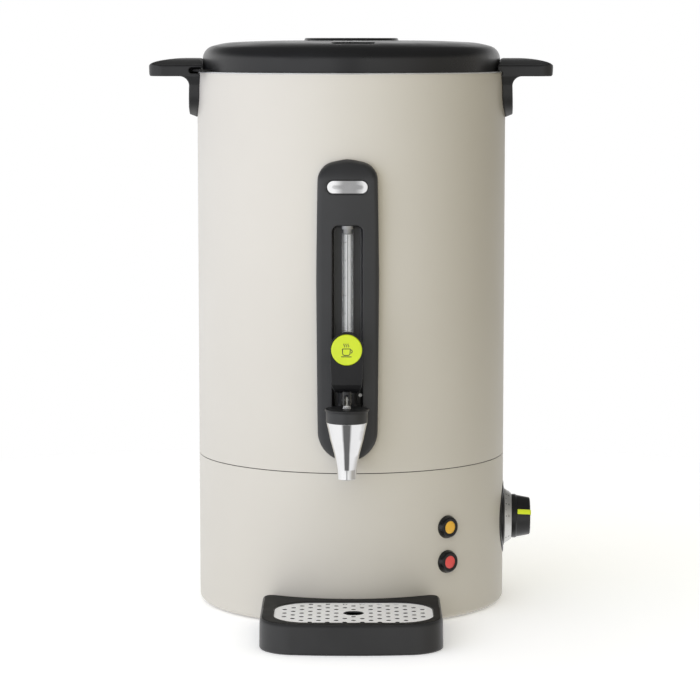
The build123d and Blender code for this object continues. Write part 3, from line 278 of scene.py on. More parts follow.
def smooth(mesh, angle=32.0):
    for p in mesh.polygons:
        p.use_smooth = True
    mesh.set_sharp_from_angle(angle=math.radians(angle))


def piece(name, mesh, body, slot=None, mat=None, replaces=(), angle=32.0):
    """A finished piece from a mesh in metres: shaded, given its material and set riding."""
    mesh.name = name
    o = bpy.data.objects.new(name, mesh)
    bpy.context.scene.collection.objects.link(o)
    if angle:
        smooth(mesh, angle)
    mesh.materials.clear()
    mesh.materials.append(MATS[mat or slot])
    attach(o, body)
    if replaces:
        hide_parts(*replaces)
    return o


def to_mesh(bm, name="m"):
    bmesh.ops.recalc_face_normals(bm, faces=bm.faces[:])
    me = bpy.data.meshes.new(name)
    bm.to_mesh(me)
    bm.free()
    return me


def baked(o):
    """The mesh of o with its modifiers applied."""
    dg = bpy.context.evaluated_depsgraph_get()
    me = bpy.data.meshes.new_from_object(o.evaluated_get(dg))
    return me


def rounded(pts, closed=True, step=14.0):
    """Profile with rounded corners: pts are (r, t) or (r, t, radius)."""
    n = len(pts)
    out = []
    for i, p in enumerate(pts):
        rad = p[2] if len(p) > 2 else 0.0
        if rad <= 0 or (not closed and i in (0, n - 1)):
            out.append((p[0], p[1]))
            continue
        a, b, c = Vector(pts[i - 1][:2]), Vector(p[:2]), Vector(pts[(i + 1) % n][:2])
        u, v = (a - b).normalized(), (c - b).normalized()
        half = math.acos(max(-1, min(1, u.dot(v)))) / 2
        if half > math.pi / 2 - 0.01:
            out.append((p[0], p[1]))
            continue
        reach = min(rad / math.tan(half), (a - b).length * 0.499, (c - b).length * 0.499)
        rad = reach * math.tan(half)
        centre = b + (u + v).normalized() * (rad / math.sin(half))
        s, e = b + u * reach - centre, b + v * reach - centre
        a0, a1 = math.atan2(s.y, s.x), math.atan2(e.y, e.x)
        d = (a1 - a0 + math.pi) % (2 * math.pi) - math.pi
        k = max(2, int(abs(math.degrees(d)) / step) + 1)
        for j in range(k + 1):
            t = a0 + d * j / k
            out.append((centre.x + rad * math.cos(t), centre.y + rad * math.sin(t)))
    return out


def basis(direction, hint=(0, 0, 1)):
    """Matrix whose local z is direction."""
    z = Vector(direction).normalized()
    x = Vector(hint).cross(z)
    if x.length < 1e-6:
        x = Vector((1, 0, 0)).cross(z)
    x.normalize()
    y = z.cross(x)
    return Matrix((x, y, z)).transposed()


def lathe(prof, n=96, origin=(0, 0, 0), direction=(0, 0, 1), closed=True, warp=None, into=None):
    """Turned mesh in metres from a profile of (radius, along) in mm. warp(vector) may bend it."""
    bm = into or bmesh.new()
    rot, org = basis(direction), Vector(origin)
    rings = []
    for r, t in prof:
        ring = []
        count = 1 if r < 1e-6 else n
        for i in range(count):
            a = 2 * math.pi * i / n
            p = org + rot @ Vector((r * math.cos(a), r * math.sin(a), t))
            if warp:
                p = warp(p)
            ring.append(bm.verts.new(p * MM))
        rings.append(ring)
    pairs = list(zip(rings, rings[1:] + rings[:1])) if closed else list(zip(rings, rings[1:]))
    for a, b in pairs:
        if len(a) == 1 and len(b) == 1:
            continue
        for i in range(n):
            j = (i + 1) % n
            vs = [a[i % len(a)], a[j % len(a)], b[j % len(b)], b[i % len(b)]]
            keep = []
            for v in vs:
                if v not in keep:
                    keep.append(v)
            if len(keep) > 2:
                bm.faces.new(keep)
    if into is None:
        return to_mesh(bm)
    return bm


def tube(points, radius, closed=False, flat=1.0, flat_axis=1, res=3):
    """Round line through points (mm); flat and flat_axis are not used."""
    cu = bpy.data.curves.new("line", "CURVE")
    cu.dimensions = "3D"
    cu.bevel_depth = radius * MM
    cu.bevel_resolution = res
    cu.use_fill_caps = True
    sp = cu.splines.new("POLY")
    sp.points.add(len(points) - 1)
    for q, p in zip(sp.points, points):
        q.co = (*[c * MM for c in p], 1)
    sp.use_cyclic_u = closed
    o = bpy.data.objects.new("line", cu)
    bpy.context.scene.collection.objects.link(o)
    bpy.context.view_layer.update()
    me = baked(o)
    bpy.data.objects.remove(o)
    return me


def joined(meshes, name="joined"):
    bm = bmesh.new()
    for me in meshes:
        bm.from_mesh(me)
    out = bpy.data.meshes.new(name)
    bm.to_mesh(out)
    bm.free()
    return out


def welded(node, merge=2e-6):
    """A copy of a CAD node's mesh with its faces joined at their edges."""
    bm = bmesh.new()
    bm.from_mesh(NODES[node].data)
    bmesh.ops.remove_doubles(bm, verts=bm.verts[:], dist=merge)
    return to_mesh(bm)


def softened(node, voxel, passes=3, factor=0.5, keep_sharp=False):
    """A CAD node's solid re-meshed with evenly softened edges, as a moulding has them."""
    o = bpy.data.objects.new("tmp", welded(node))
    bpy.context.scene.collection.objects.link(o)
    r = o.modifiers.new("r", "REMESH")
    r.mode = "VOXEL"
    r.voxel_size = voxel * MM
    r.adaptivity = 0.0
    s = o.modifiers.new("s", "SMOOTH")
    s.factor, s.iterations = factor, passes
    bpy.context.view_layer.update()
    me = baked(o)
    bpy.data.objects.remove(o)
    return me


# ================================================================== drum
piece("body_skin", lathe(rounded([(136.0, 133.0, 0.3), (136.0, 470.25, 0.2), (134.8, 470.25), (134.8, 133.0)]), 360),
      "urn", "body_paint", replaces=("body_shell",), angle=40)
piece("base_skin", lathe(rounded([(110.0, 1.2), (136.0, 1.2, 4.6), (136.0, 132.4, 0.3), (134.8, 132.4), (134.8, 2.4, 3.4), (110.0, 2.4)],
                                 step=9), 360), "urn", "body_paint", replaces=("base_shell",), angle=40)
piece("seam_bead", lathe(rounded([(132.8, 124.7), (134.7, 124.7), (134.7, 132.4), (135.65, 132.4, 0.15), (135.65, 133.0, 0.15),
                                  (134.7, 133.0), (134.7, 140.7), (132.8, 140.7)]), 360), "urn", "dark_rubber",
      replaces=("joint_ring",))
piece("tank", lathe(rounded([(0, 145.2), (131.2, 145.2, 8), (131.2, 470.45), (136.12, 470.45), (136.12, 470.15), (136.6, 470.15, 0.15),
                             (136.6, 471.2, 0.5), (130.4, 471.2, 0.8), (130.4, 146.0, 7.2), (0, 146.0)], step=10), 300),
      "urn", "stainless", replaces=("inner_tank",), angle=45)

# ================================================================== handles
for s in ("left", "right"):
    piece(f"handle_{s}_moulding", softened(f"handle_{s}", 0.55, 4), "urn", "black_plastic", replaces=(f"handle_{s}",), angle=75)

# ================================================================== lid
lid = welded("lid_shell")
piece("lid_moulding", lid, "lid", "lid_plastic", replaces=("lid_shell",), angle=30)

# ================================================================== front panel
P_Z0, P_Z1 = 144.6, 399.5
P_DISCS = ((0.0, 170.0, 25.4), (0.0, 300.0, 26.5), (0.0, 375.0, 24.5), (-9.3, 381.7, 16.0), (9.3, 381.7, 16.0))


def panel_outline(inset, step=1.6):
    """Outline of the panel in (x, z), drawn in by inset: hull of four discs."""
    pts, last = [], None
    for i in range(240):
        a = 2 * math.pi * i / 240
        nx, nz = math.cos(a), math.sin(a)
        best = max(P_DISCS, key=lambda d: d[0] * nx + d[1] * nz + d[2])
        p = Vector((best[0] + (best[2] - inset) * nx, best[1] + (best[2] - inset) * nz))
        pts.append(p)
    out = []
    for p, q in zip(pts, pts[1:] + pts[:1]):
        d = (q - p).length
        if d < 1e-4:
            continue
        k = max(1, int(round(d / step)))
        for j in range(k):
            out.append(p.lerp(q, j / k))
    # thin out points closer than half a step
    slim = [out[0]]
    for p in out[1:]:
        if (p - slim[-1]).length > step * 0.45:
            slim.append(p)
    if (slim[-1] - slim[0]).length < step * 0.45:
        slim.pop()
    return slim


DIRS = [(math.cos(2 * math.pi * i / 180), math.sin(2 * math.pi * i / 180)) for i in range(180)]
SUPPORT = [(nx, nz, max(d[0] * nx + d[1] * nz + d[2] for d in P_DISCS)) for nx, nz in DIRS]


def inside_by(x, z):
    return min(h - x * nx - z * nz for nx, nz, h in SUPPORT)


def box_sdf(x, z, cx, cz, hw, hh, r):
    dx, dz = abs(x - cx) - hw + r, abs(z - cz) - hh + r
    return math.hypot(max(dx, 0), max(dz, 0)) + min(max(dx, dz), 0) - r


def box_loop(cx, cz, hw, hh, r, step=1.2):
    """Points round a rounded rectangle."""
    pts = []
    corners = ((cx + hw - r, cz + hh - r, 0), (cx - hw + r, cz + hh - r, 90), (cx - hw + r, cz - hh + r, 180), (cx + hw - r, cz - hh + r, 270))
    for ox, oz, a0 in corners:
        k = max(3, int(r * math.pi / 2 / (step * 0.6)) + 1)
        for j in range(k + 1):
            a = math.radians(a0 + 90 * j / k)
            pts.append(Vector((ox + r * math.cos(a), oz + r * math.sin(a))))
    out = []
    for p, q in zip(pts, pts[1:] + pts[:1]):
        d = (q - p).length
        if d < 1e-5:
            continue
        k = max(1, int(round(d / step)))
        for j in range(k):
            out.append(p.lerp(q, j / k))
    return out


T_CZ, T_HH, T_HW, T_R, T_FLOOR = (188.0 + 344.4) / 2, (344.4 - 188.0) / 2, 12.85, 5.2, 137.45
B_CZ, B_HW, B_HH = 376.7, 17.5, 5.95
EDGE = 4.4


def ease(t):
    t = max(0.0, min(1.0, t))
    return t * t * (3 - 2 * t)


def panel_radius(x, z):
    """Distance of the panel's front surface from the drum's axis."""
    d = inside_by(x, z)
    r = PANEL_R
    top = max(0.0, z - 381.0) / 18.5
    r -= 7.0 * top * top * (1.3 - 0.3 * top)
    if d < EDGE:
        r -= EDGE - math.sqrt(max(EDGE * EDGE - (EDGE - max(d, 0.0)) ** 2, 0.0))
    # trough with a rounded lip, a drafted wall and a soft foot
    s = box_sdf(x, z, 0.0, T_CZ, T_HW, T_HH, T_R)
    if s < 0.9:
        lip = 0.9 - s
        if lip < 0.9:
            r -= 0.9 - math.sqrt(max(0.81 - lip * lip, 0.0))
        else:
            u = (-s) / 1.5
            wall = r - 0.9
            r = wall + (T_FLOOR - wall) * (math.sin(min(u, 1.0) * math.pi / 2) ** 0.55 if u > 0 else 0.0)
    # badge recess
    s = box_sdf(x, z, 0.0, B_CZ, B_HW, B_HH, B_HH - 0.02)
    if s < 0.35:
        r -= 0.75 * ease((0.35 - s) / 0.5)
    return r


def panel_mesh():
    pts, edges = [], []

    def loop(ps):
        base = len(pts)
        pts.extend(ps)
        edges.extend((base + i, base + (i + 1) % len(ps)) for i in range(len(ps)))

    for inset in (0.0, 0.1, 0.4, 0.9, 1.6, 2.5, 3.4, 4.4):
        loop(panel_outline(inset, 1.5))
    for grow in (0.9, 0.8, 0.6, 0.35, 0.12, 0.0, -0.12, -0.4, -0.8, -1.2, -1.5):
        loop(box_loop(0.0, T_CZ, T_HW + grow, T_HH + grow, T_R + grow, 1.3))
    for grow in (0.35, 0.2, 0.05, -0.1, -0.16):
        loop(box_loop(0.0, B_CZ, B_HW + grow, B_HH + grow, B_HH + grow - 0.05, 0.9))
    gx, gz = 2.0, 2.4
    for i in range(-14, 15):
        for j in range(0, 108):
            x, z = i * gx + (gx / 2 if j % 2 else 0), 144.0 + j * gz
            if inside_by(x, z) < 5.2:
                continue
            s1 = box_sdf(x, z, 0.0, T_CZ, T_HW, T_HH, T_R)
            s2 = box_sdf(x, z, 0.0, B_CZ, B_HW, B_HH, B_HH - 0.02)
            if -2.4 < s1 < 1.7 or -0.9 < s2 < 1.1:
                continue
            pts.append(Vector((x, z)))
    vs, es, fs, *_ = geometry.delaunay_2d_cdt([Vector(p) for p in pts], edges, [], 0, 1e-4)
    bm = bmesh.new()
    front, back = [], []
    for v in vs:
        r = panel_radius(v.x, v.y)
        front.append(bm.verts.new(Vector((v.x, -math.sqrt(r * r - v.x * v.x), v.y)) * MM))
    for v in vs:
        r = BODY_R + 0.06
        back.append(bm.verts.new(Vector((v.x, -math.sqrt(r * r - v.x * v.x), v.y)) * MM))
    count = {}
    for f in fs:
        bm.faces.new([front[i] for i in f])
        bm.faces.new([back[i] for i in reversed(f)])
        for a, b in zip(f, list(f[1:]) + [f[0]]):
            key = (min(a, b), max(a, b))
            count.setdefault(key, []).append((a, b))
    for key, uses in count.items():
        if len(uses) == 1:
            a, b = uses[0]
            bm.faces.new([front[b], front[a], back[a], back[b]])
    return to_mesh(bm)


piece("front_panel_moulding", panel_mesh(), "urn", "grey_plastic", replaces=("front_panel",), angle=50)


# badge: bright pill, crowned edge, wrapped on the panel
def wrapped_pill(half_w, half_h, z0, r_of, rings):
    """Pill on the panel: rings are (inset, radius from the axis)."""
    bm = bmesh.new()
    loops = []
    for inset, r in rings:
        ps = box_loop(0.0, z0, half_w - inset, half_h - inset, half_h - inset - 0.02, 0.8) if half_h - inset > 0.1 else None
        loops.append([(p.x, p.y, r) for p in ps])
    n = min(len(l) for l in loops)
    vs = []
    for l in loops:
        m_ = len(l)
        vs.append([bm.verts.new(Vector((l[int(i * m_ / n)][0], -math.sqrt(l[0][2] ** 2 - l[int(i * m_ / n)][0] ** 2), l[int(i * m_ / n)][1])) * MM)
                   for i in range(n)])
    for a, b in zip(vs, vs[1:]):
        for i in range(n):
            j = (i + 1) % n
            bm.faces.new((a[i], a[j], b[j], b[i]))
    bm.faces.new(vs[0])
    bm.faces.new(vs[-1])
    return to_mesh(bm)


piece("badge", wrapped_pill(17.0, 5.45, 376.7, None,
                            [(0.0, 147.35), (0.0, 147.9), (0.08, 148.0), (0.22, 148.07), (0.45, 148.1), (1.5, 148.1), (3.0, 148.1), (4.6, 148.1)]),
      "urn", "polished_steel", replaces=("badge_plate",), angle=40)

# ================================================================== sight tube
piece("sight_tube_glass", lathe(rounded([(3.6, 199.0, 0.3), (4.8, 199.0, 0.3), (4.8, 341.3, 0.4), (3.6, 341.3, 0.3)]), 64,
                                (0, TUBE_Y, 0)), "urn", "sight_glass", replaces=("sight_tube",), angle=60)
# printed level ticks on the scale behind the tube
ticks_and_shade_strips = []
for i in range(9):
    z = 329.6 - 14.9 * i
    bm = bmesh.new()
    bmesh.ops.create_cube(bm, size=1.0, matrix=Matrix.Translation(Vector((-2.2, -138.02, z)) * MM)
                          @ Matrix.Diagonal((0.0012, 0.00012, 0.0006, 1)))
    bmesh.ops.bevel(bm, geom=bm.edges[:], offset=0.00004, segments=1, affect="EDGES")
    ticks_and_shade_strips.append(to_mesh(bm))
# painted shade: a dark centre line and two dark side bands on the scale behind the glass stand in for the tube's dark
# middle and edges
for x0, x1 in ((-0.22, 0.22), (-5.6, -3.0), (3.0, 5.6)):
    bm = bmesh.new()
    bmesh.ops.create_cube(bm, size=1.0, matrix=Matrix.Translation(Vector(((x0 + x1) / 2, -138.02, 272.0)) * MM)
                          @ Matrix.Diagonal(((x1 - x0) * MM, 0.00012, 0.1400, 1)))
    ticks_and_shade_strips.append(to_mesh(bm))
piece("scale_ticks_and_painted_shade", joined(ticks_and_shade_strips), "urn", "scale_print", mat="ink", angle=30)

# ================================================================== tap
TAP = (0, TAP_Y, 0)
cone = rounded([(6.0, 133.2, 0.3), (7.9, 133.2, 0.5), (7.9, 136.0, 3), (8.35, 141.6, 8), (10.55, 154.2, 30), (14.1, 166.8, 40), (15.85, 175.2, 40), (17.3, 181.5, 0.3), (14.8, 181.5),
                (14.8, 188.0), (12.9, 188.0), (12.9, 174.5), (9.6, 173.0), (9.6, 166.0), (5.4, 166.0), (5.4, 142.2), (6.0, 141.2)], step=5)
neck = rounded([(4.0, 119.5), (6.5, 119.5, 0.4), (6.5, 149.4), (10.5, 149.4, 0.5), (10.5, 156.5), (4.0, 156.5)], step=12)
bm = bmesh.new()
lathe(cone, 160, TAP, into=bm)
lathe(neck, 80, (0, 0, 174.5), (0, -1, 0), into=bm)
piece("spout_casting", to_mesh(bm), "urn", "polished_steel", replaces=("spout",), angle=38)
piece("spout_collar", lathe(rounded([(14.85, 181.55), (17.5, 181.55, 0.5), (17.6, 190.65, 0.4), (14.85, 190.65)]), 128, TAP),
      "urn", "grey_plastic", replaces=("tap_collar",))
piece("spout_cap", lathe(rounded([(1.51, 184.0), (12.85, 184.0), (12.85, 188.1), (14.7, 188.1), (14.7, 190.7), (18.55, 190.7, 0.5),
                                  (18.55, 192.75, 0.9), (8.0, 193.0), (1.51, 193.0)]), 128, TAP),
      "urn", "black_plastic", replaces=("tap_cap",))
piece("gland", lathe(rounded([(1.51, 193.0), (3.7, 193.0), (3.0, 194.3, 0.5), (3.0, 195.45, 0.25), (1.51, 195.45)]), 48, TAP),
      "urn", "stainless", replaces=("stem_gland",))

# the return spring between the cap and the valve's cup: a still copy of the CAD spring, not made to shorten
spring = bpy.data.objects.new("return_spring", welded("stem_spring"))
bpy.context.scene.collection.objects.link(spring)
spring.data.name = "return_spring"
smooth(spring.data, 50)
spring.data.materials.clear()
spring.data.materials.append(MATS["stainless"])
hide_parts("stem_spring")
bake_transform(spring)

# ================================================================== lever
piece("lever_moulding", softened("lever", 0.24, 4), "tap_lever", "black_plastic", mat="lever_black", replaces=("lever",), angle=75)
piece("lever_button", lathe(rounded([(0, -172.6 + 0), (12.9, -172.6), (12.9, -175.3, 0.9), (0, -175.45)], step=8), 96,
                            (0, 0, 242.9), (0, 1, 0)), "tap_lever", "lime_plastic", replaces=("lever_disc",), angle=40)

# pictogram: a cup on a saucer with steam
DISC_Y, DISC_Z = -175.42, 242.9


def stroke(points, w=0.36):
    me = tube([(x, DISC_Y, DISC_Z + z) for x, z in points], w)
    for v in me.vertices:
        v.co.y = DISC_Y * MM + (v.co.y - DISC_Y * MM) * 0.22
    return me


def arc_pts(cx, cz, r, a0, a1, n=14, sx=1.0):
    return [(cx + sx * r * math.cos(math.radians(a0 + (a1 - a0) * i / n)), cz + r * math.sin(math.radians(a0 + (a1 - a0) * i / n)))
            for i in range(n + 1)]


icon = [
    stroke([(-3.6, 1.0), (3.0, 1.0)]),
    stroke([(-3.6, 1.0), (-3.5, -1.0)] + arc_pts(-1.6, -2.6, 1.8, 175, 270) + arc_pts(1.0, -2.6, 1.8, 270, 365) + [(2.9, -1.0), (3.0, 1.0)]),
    stroke(arc_pts(3.1, -1.1, 1.5, 80, -75, sx=1.0)),
    stroke([(-4.6, -5.6), (4.0, -5.6)]),
]
for i in (-1, 0, 1):
    icon.append(stroke([(i * 1.7 - 0.3 + 0.45 * math.sin(t * 2.1), 2.4 + t) for t in [k * 0.25 for k in range(13)]], 0.28))
piece("lever_pictogram", joined(icon), "tap_lever", "lime_plastic", mat="ink", angle=60)

# ================================================================== lamps
for z, node, slot in zip(LAMP_Z, ("lamp_lens_amber", "lamp_lens_red"), ("amber_lens", "red_lens")):
    a = math.radians(LAMP_A)
    out = (math.sin(a), -math.cos(a), 0)
    lens = rounded([(0, 134.7), (5.2, 134.7), (5.2, 137.5), (6.4, 137.5), (6.4, 139.3, 0.4), (5.6, 139.7, 0.4), (0, 140.8)], step=8)
    piece(f"{node}_dome", lathe(lens, 64, (0, 0, z), out), "urn", slot, replaces=(node,), angle=35)
bm = bmesh.new()
for z in LAMP_Z:
    lathe(rounded([(5.3, 117.0), (7.1, 117.0), (7.1, 135.5), (10.15, 135.5), (9.95, 136.6, 0.6), (8.75, 139.7, 0.6), (7.9, 140.3, 0.5),
                   (5.5, 140.1, 0.15), (5.5, 139.85, 0.1), (6.45, 139.85), (6.45, 137.4), (5.3, 137.4)], step=10), 72, (0, 0, z), out, into=bm)
piece("lamp_surrounds", to_mesh(bm), "urn", "black_plastic", mat="lever_black", replaces=("lamp_bezels",), angle=40)

# ================================================================== thermostat knob
K = (0, 0, KNOB_Z)


def on_drum(p):
    """Lets the bezel's foot follow the drum wall."""
    if p.x < 135.9:
        wall = math.sqrt(BODY_R ** 2 - min(p.y * p.y, BODY_R ** 2)) + 0.02
        p.x = max(p.x if p.x > wall else wall, wall)
    return p


flange = []
for r_, over in ((27.0, 1.0), (29.5, 1.0), (31.3, 0.95), (32.0, 0.6), (32.2, 0.1), (32.2, 0.02), (27.0, 0.02)):
    flange.append((r_, over))
bm = bmesh.new()
rings = []
for r_, over in flange:
    ring = []
    for i in range(160):
        a = 2 * math.pi * i / 160
        y, z = r_ * math.cos(a), KNOB_Z + r_ * math.sin(a)
        wall = math.sqrt((BODY_R + over) ** 2 - y * y)
        ring.append(bm.verts.new(Vector((min(wall, 136.35) if over > 0.05 else wall, y, z)) * MM))
    rings.append(ring)
for a_, b_ in zip(rings, rings[1:] + rings[:1]):
    for i in range(160):
        j = (i + 1) % 160
        bm.faces.new((a_[i], a_[j], b_[j], b_[i]))
saddle = to_mesh(bm)
piece("knob_rose", joined([saddle, lathe(rounded([(10.2, 132.4), (27.2, 132.4), (27.2, 136.2, 0.5), (25.9, 137.1, 0.5), (10.2, 137.1)], step=12), 160, K, (1, 0, 0),
                         warp=on_drum)]), "urn", "black_plastic", mat="knob_black", replaces=("knob_bezel",), angle=40)
piece("dial", lathe(rounded([(10.2, 137.1), (24.7, 137.1, 0.15), (24.55, 137.75, 0.25), (20.85, 143.3, 0.35), (20.3, 143.6, 0.2), (11.0, 143.6, 0.4),
                             (10.2, 142.6)], step=12), 160, K, (1, 0, 0)), "urn", "dial_silver", replaces=("dial_ring",), angle=40)


def knob_turned(p):
    return p


grip = rounded([(12.0, 143.95), (19.6, 143.95, 0.35), (19.6, 147.2, 0.5), (18.75, 148.3, 1.2), (17.9, 153.0, 20), (16.6, 159.8, 0.9),
                (15.2, 160.4, 0.9), (0, 160.4), (0, 157.8), (3.0, 157.8), (3.0, 146.5), (6.5, 146.5), (6.5, 157.0), (12.0, 157.0)], step=8)
piece("knob_grip", lathe(grip, 160, K, (1, 0, 0)), "dial_knob", "black_plastic", mat="knob_black", replaces=("knob",), angle=38)

# pointer: raised rib along the grip, turned over its end
pa = math.radians(POINTER_A)
pd = Vector((0, -math.cos(pa), math.sin(pa)))
pside = Vector((0, math.sin(pa), math.cos(pa)))
outer = rounded([(148.85, 18.9), (149.4, 19.15, 0.5), (153.0, 18.45, 6), (160.0, 17.1, 1.0), (160.95, 15.6, 0.6), (160.95, 13.7, 0.3)], closed=False, step=9)
inner = [(x, 13.65) for x, _ in outer]
bm = bmesh.new()
rows = []
half = 2.2
for (x, r), (_, r0) in zip(outer, inner):
    row = []
    for off, rr in ((-half, r0), (-half, r - 0.35), (-half + 0.1, r - 0.12), (-half + 0.35, r), (0, r + 0.02), (half - 0.35, r),
                    (half - 0.1, r - 0.12), (half, r - 0.35), (half, r0)):
        h = math.sqrt(max(rr * rr - off * off, 0.01))
        row.append(bm.verts.new((Vector((x, 0, KNOB_Z)) + pd * h + pside * off) * MM))
    rows.append(row)
for a_, b_ in zip(rows, rows[1:]):
    for i in range(len(a_)):
        j = (i + 1) % len(a_)
        bm.faces.new((a_[i], a_[j], b_[j], b_[i]))
bm.faces.new(rows[0])
bm.faces.new(rows[-1])
piece("pointer_rib", to_mesh(bm), "dial_knob", "lime_plastic", mat="lime_bright", replaces=("knob_pointer",), angle=40)


# dial printing: ticks and plain numbers, laid on the ring's cone
def on_cone(u, v, lift):
    """u degrees clockwise from the knob's low end, v along the slant in mm from its inner edge."""
    slope = Vector((24.55 - 20.85, 137.75 - 143.3)).normalized()
    r = 20.85 + slope.x * v - slope.y * lift
    x = 143.3 + slope.y * v + slope.x * lift
    a = math.radians(u)
    d = Vector((0, -math.cos(a - math.pi / 4), math.sin(a - math.pi / 4)))
    return Vector((x, 0, KNOB_Z)) + d * r


def dial_patch(u0, u1, v0, v1, lift=0.05):
    bm = bmesh.new()
    top = [bm.verts.new(on_cone(u, v, lift) * MM) for u, v in ((u0, v0), (u1, v0), (u1, v1), (u0, v1))]
    low = [bm.verts.new(on_cone(u, v, -0.1) * MM) for u, v in ((u0, v0), (u1, v0), (u1, v1), (u0, v1))]
    bm.faces.new(top)
    bm.faces.new(low[::-1])
    for i in range(4):
        j = (i + 1) % 4
        bm.faces.new((top[i], low[i], low[j], top[j]))
    return to_mesh(bm)


def dial_number(text, u0, size=2.3):
    cu = bpy.data.curves.new("t", "FONT")
    cu.body = text
    cu.size = size * MM
    cu.align_x, cu.align_y = "CENTER", "CENTER"
    cu.extrude = 0.00008
    o = bpy.data.objects.new("t", cu)
    bpy.context.scene.collection.objects.link(o)
    bpy.context.view_layer.update()
    me = baked(o)
    bpy.data.objects.remove(o)
    for v in me.vertices:
        x, y, z = v.co / MM
        v.co = on_cone(u0 + math.degrees(x / 22.6), 2.75 - y, 0.0 + z * 0.6) * MM
    return me


prints = []
for k in range(0, 9):
    u = 54 + 27 * k
    prints.append(dial_number(str(30 + 10 * k), u, 2.1))
    prints.append(dial_patch(u - 0.7, u + 0.7, 4.9, 6.2))
    if k:
        prints.append(dial_patch(u - 13.5 - 0.4, u - 13.5 + 0.4, 5.3, 6.2))
prints.append(dial_number("0", 0, 2.3))
prints.append(dial_patch(-0.7, 0.7, 4.9, 6.2))
piece("dial_print", joined(prints), "urn", "dial_silver", mat="ink", angle=30)

# ================================================================== drip tray
tray = piece("tray_moulding", softened("drip_tray", 0.85, 3), "tray", "grey_plastic", mat="tray_black", replaces=("drip_tray",), angle=75)
# painted shade: every upward-facing face of the tray takes the darker copy
tray.data.materials.append(MATS["tray_top_painted_shade"])
for f in tray.data.polygons:
    if f.normal.z > 0.9:
        f.material_index = 1
plate = piece("tray_grille", welded("drip_grille"), "grille", "stainless", mat="grille_steel", replaces=("drip_grille",), angle=30)
plate.data.materials.append(MATS["grille_hole_painted_shade"])
# painted shade: the side walls of the holes in the grille's middle take the dark steel
mid = sum((v.co for v in plate.data.vertices), Vector()) / len(plate.data.vertices)
for f in plate.data.polygons:
    if abs(f.normal.z) < 0.5 and abs(f.center.x - mid.x) < 0.062 and abs(f.center.y - mid.y) < 0.0375:
        f.material_index = 1

# ================================================================== stage, light, camera
bm = bmesh.new()
bmesh.ops.create_circle(bm, cap_ends=True, segments=96, radius=1.0)
floor_mesh = bpy.data.meshes.new("floor")
bm.to_mesh(floor_mesh)
bm.free()
floor = bpy.data.objects.new("floor", floor_mesh)
bpy.context.scene.collection.objects.link(floor)
fm = Mat("floor_paper", Roughness=0.9, Specular_IOR_Level=0.0)
fm.colour(fm.ramp(fm.noise(2.0, 2.0), 0, 1), (0.95, 0.95, 0.95, 1), (0.965, 0.965, 0.965, 1))
fm.p.inputs["Emission Color"].default_value = (1, 1, 1, 1)
fm.p.inputs["Emission Strength"].default_value = 0.23
length = fm.node("ShaderNodeVectorMath", operation="LENGTH")
fm.link(fm.obj(), length.inputs[0])
fm.link(fm.ramp(length.outputs["Value"], 1.0, 0.0, 0.42, 0.92), fm.p.inputs["Alpha"])
floor_mesh.materials.append(fm.m)
floor.visible_glossy = False

# Soft light from all round, given as a table of directions: degrees from the front, then colour.
TENT = [(-180, 0.81, 0.81, 0.62), (-150, 1.11, 1.22, 1.03), (-110, 0.654, 0.61, 0.52), (-85, 0.98, 0.927, 1.047),
        (-65, 1.38, 1.43, 1.77), (-45, 1.79, 1.93, 2.40), (-28, 2.03, 2.16, 2.47), (-12, 1.98, 2.00, 1.93),
        (12, 1.40, 1.29, 0.95), (28, 0.48, 0.36, 0.14), (45, 0.05, 0.02, 0.0), (65, 0.0, 0.0, 0.0),
        (110, 0.0, 0.0, 0.0), (150, 0.40, 0.31, 0.14), (180, 0.81, 0.81, 0.62)]
SHINE = [(-180, 1.15, 1.15, 1.15), (-110, 1.0, 1.0, 1.0), (-60, 1.15, 1.15, 1.15), (-10, 1.15, 1.15, 1.15), (-4.5, 0.42, 0.42, 0.42),
         (4.5, 0.42, 0.42, 0.42), (10, 1.05, 1.05, 1.05), (42, 0.8, 0.79, 0.77), (65, 0.5, 0.48, 0.44), (110, 0.45, 0.43, 0.40), (150, 1.0, 1.0, 1.0),
         (180, 1.15, 1.15, 1.15)]
UNDER = [(-180, 1.1, 1.1, 1.1), (-34, 1.1, 1.1, 1.1), (-20, 0.16, 0.16, 0.16), (20, 0.16, 0.16, 0.16), (34, 1.0, 1.0, 1.0),
         (180, 1.1, 1.1, 1.1)]
TOP = 0.95

world = bpy.data.worlds.new("studio")
bpy.context.scene.world = world
world.use_nodes = True
wt = world.node_tree
wt.nodes.clear()


def wnode(kind, **props):
    n = wt.nodes.new(kind)
    for k, v in props.items():
        setattr(n, k, v)
    return n


def wmath(op, a_, b_=None, clamp=False):
    n = wnode("ShaderNodeMath", operation=op, use_clamp=clamp)
    for sock, v in zip(n.inputs, (a_, b_)):
        if v is None:
            continue
        if isinstance(v, (int, float)):
            sock.default_value = v
        else:
            wt.links.new(v, sock)
    return n.outputs[0]


def table(fac, rows, scale=2.6):
    n = wnode("ShaderNodeValToRGB")
    cr = n.color_ramp
    cr.interpolation = "LINEAR"
    while len(cr.elements) > 1:
        cr.elements.remove(cr.elements[0])
    first = True
    for deg, *rgb in rows:
        at = (deg + 180) / 360
        if first:
            e = cr.elements[0]
            e.position = at
            first = False
        else:
            e = cr.elements.new(at)
        e.color = (rgb[0] / scale, rgb[1] / scale, rgb[2] / scale, 1)
    wt.links.new(fac, n.inputs[0])
    return n.outputs[0]


def wmix(fac, a_, b_):
    n = wnode("ShaderNodeMix", data_type="RGBA")
    ins = [i for i in n.inputs if i.type == "RGBA"]
    for sock, v in ((n.inputs[0], fac), (ins[0], a_), (ins[1], b_)):
        if isinstance(v, (int, float)):
            sock.default_value = v
        elif isinstance(v, tuple):
            sock.default_value = v
        else:
            wt.links.new(v, sock)
    return [o for o in n.outputs if o.type == "RGBA"][0]


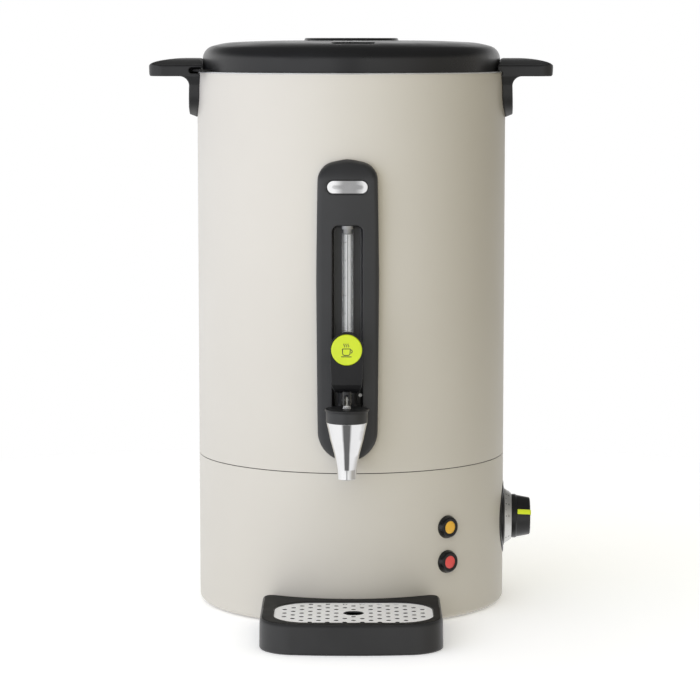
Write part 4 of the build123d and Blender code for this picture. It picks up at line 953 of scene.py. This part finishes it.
coord = wnode("ShaderNodeTexCoord").outputs["Generated"]
sep = wnode("ShaderNodeSeparateXYZ")
wt.links.new(coord, sep.inputs[0])
azim = wmath("ARCTAN2", sep.outputs["X"], wmath("MULTIPLY", sep.outputs["Y"], -1.0))
fac = wmath("ADD", wmath("DIVIDE", azim, 2 * math.pi), 0.5)
elev = wmath("MULTIPLY", wmath("ARCSINE", sep.outputs["Z"]), 180 / math.pi)
high = wmath("DIVIDE", wmath("SUBTRACT", elev, 28.0), 20.0, clamp=True)
low = wmath("DIVIDE", wmath("SUBTRACT", -18.0, elev), 8.0, clamp=True)
S = 2.6
tent = wmix(high, table(fac, TENT), (TOP / S, TOP / S, TOP / S * 0.98, 1))
above = wmath("DIVIDE", wmath("SUBTRACT", elev, 11.0), 14.0, clamp=True)
shine = wmix(above, wmix(low, table(fac, SHINE), table(fac, UNDER)), (0.10 / S, 0.10 / S, 0.10 / S, 1))
lp = wnode("ShaderNodeLightPath")
seen = wmix(lp.outputs["Is Glossy Ray"], tent, shine)
bg = wnode("ShaderNodeBackground")
wt.links.new(seen, bg.inputs[0])
bg.inputs[1].default_value = S
white = wnode("ShaderNodeBackground")
white.inputs[0].default_value = (1, 1, 1, 1)
white.inputs[1].default_value = 1.0
mixw = wnode("ShaderNodeMixShader")
wo = wnode("ShaderNodeOutputWorld")
wt.links.new(lp.outputs["Is Camera Ray"], mixw.inputs[0])
wt.links.new(bg.outputs[0], mixw.inputs[1])
wt.links.new(white.outputs[0], mixw.inputs[2])
wt.links.new(mixw.outputs[0], wo.inputs[0])
world.cycles.sampling_method = "MANUAL"
world.cycles.sample_map_resolution = 1024

bpy.context.scene.view_settings.view_transform = "Standard"
bpy.context.scene.view_settings.look = "None"

cam_data = bpy.data.cameras.new("camera")
cam_data.sensor_width = 36.0
cam_data.lens = 142.56
cam_data.clip_start, cam_data.clip_end = 0.05, 60.0
cam = bpy.data.objects.new("camera", cam_data)
bpy.context.scene.collection.objects.link(cam)
bpy.context.scene.camera = cam
az, pitch, yaw = math.radians(1.27), math.radians(6.54), math.radians(0.028)
DIST, HEIGHT = 2.463, 0.5053
cam.location = (DIST * math.sin(az), -DIST * math.cos(az), HEIGHT)
heading = math.atan2(math.cos(az), -math.sin(az)) + yaw
look = Vector((math.cos(heading) * math.cos(pitch), math.sin(heading) * math.cos(pitch), -math.sin(pitch)))
cam.rotation_mode = "QUATERNION"
cam.rotation_quaternion = look.to_track_quat("-Z", "Y")
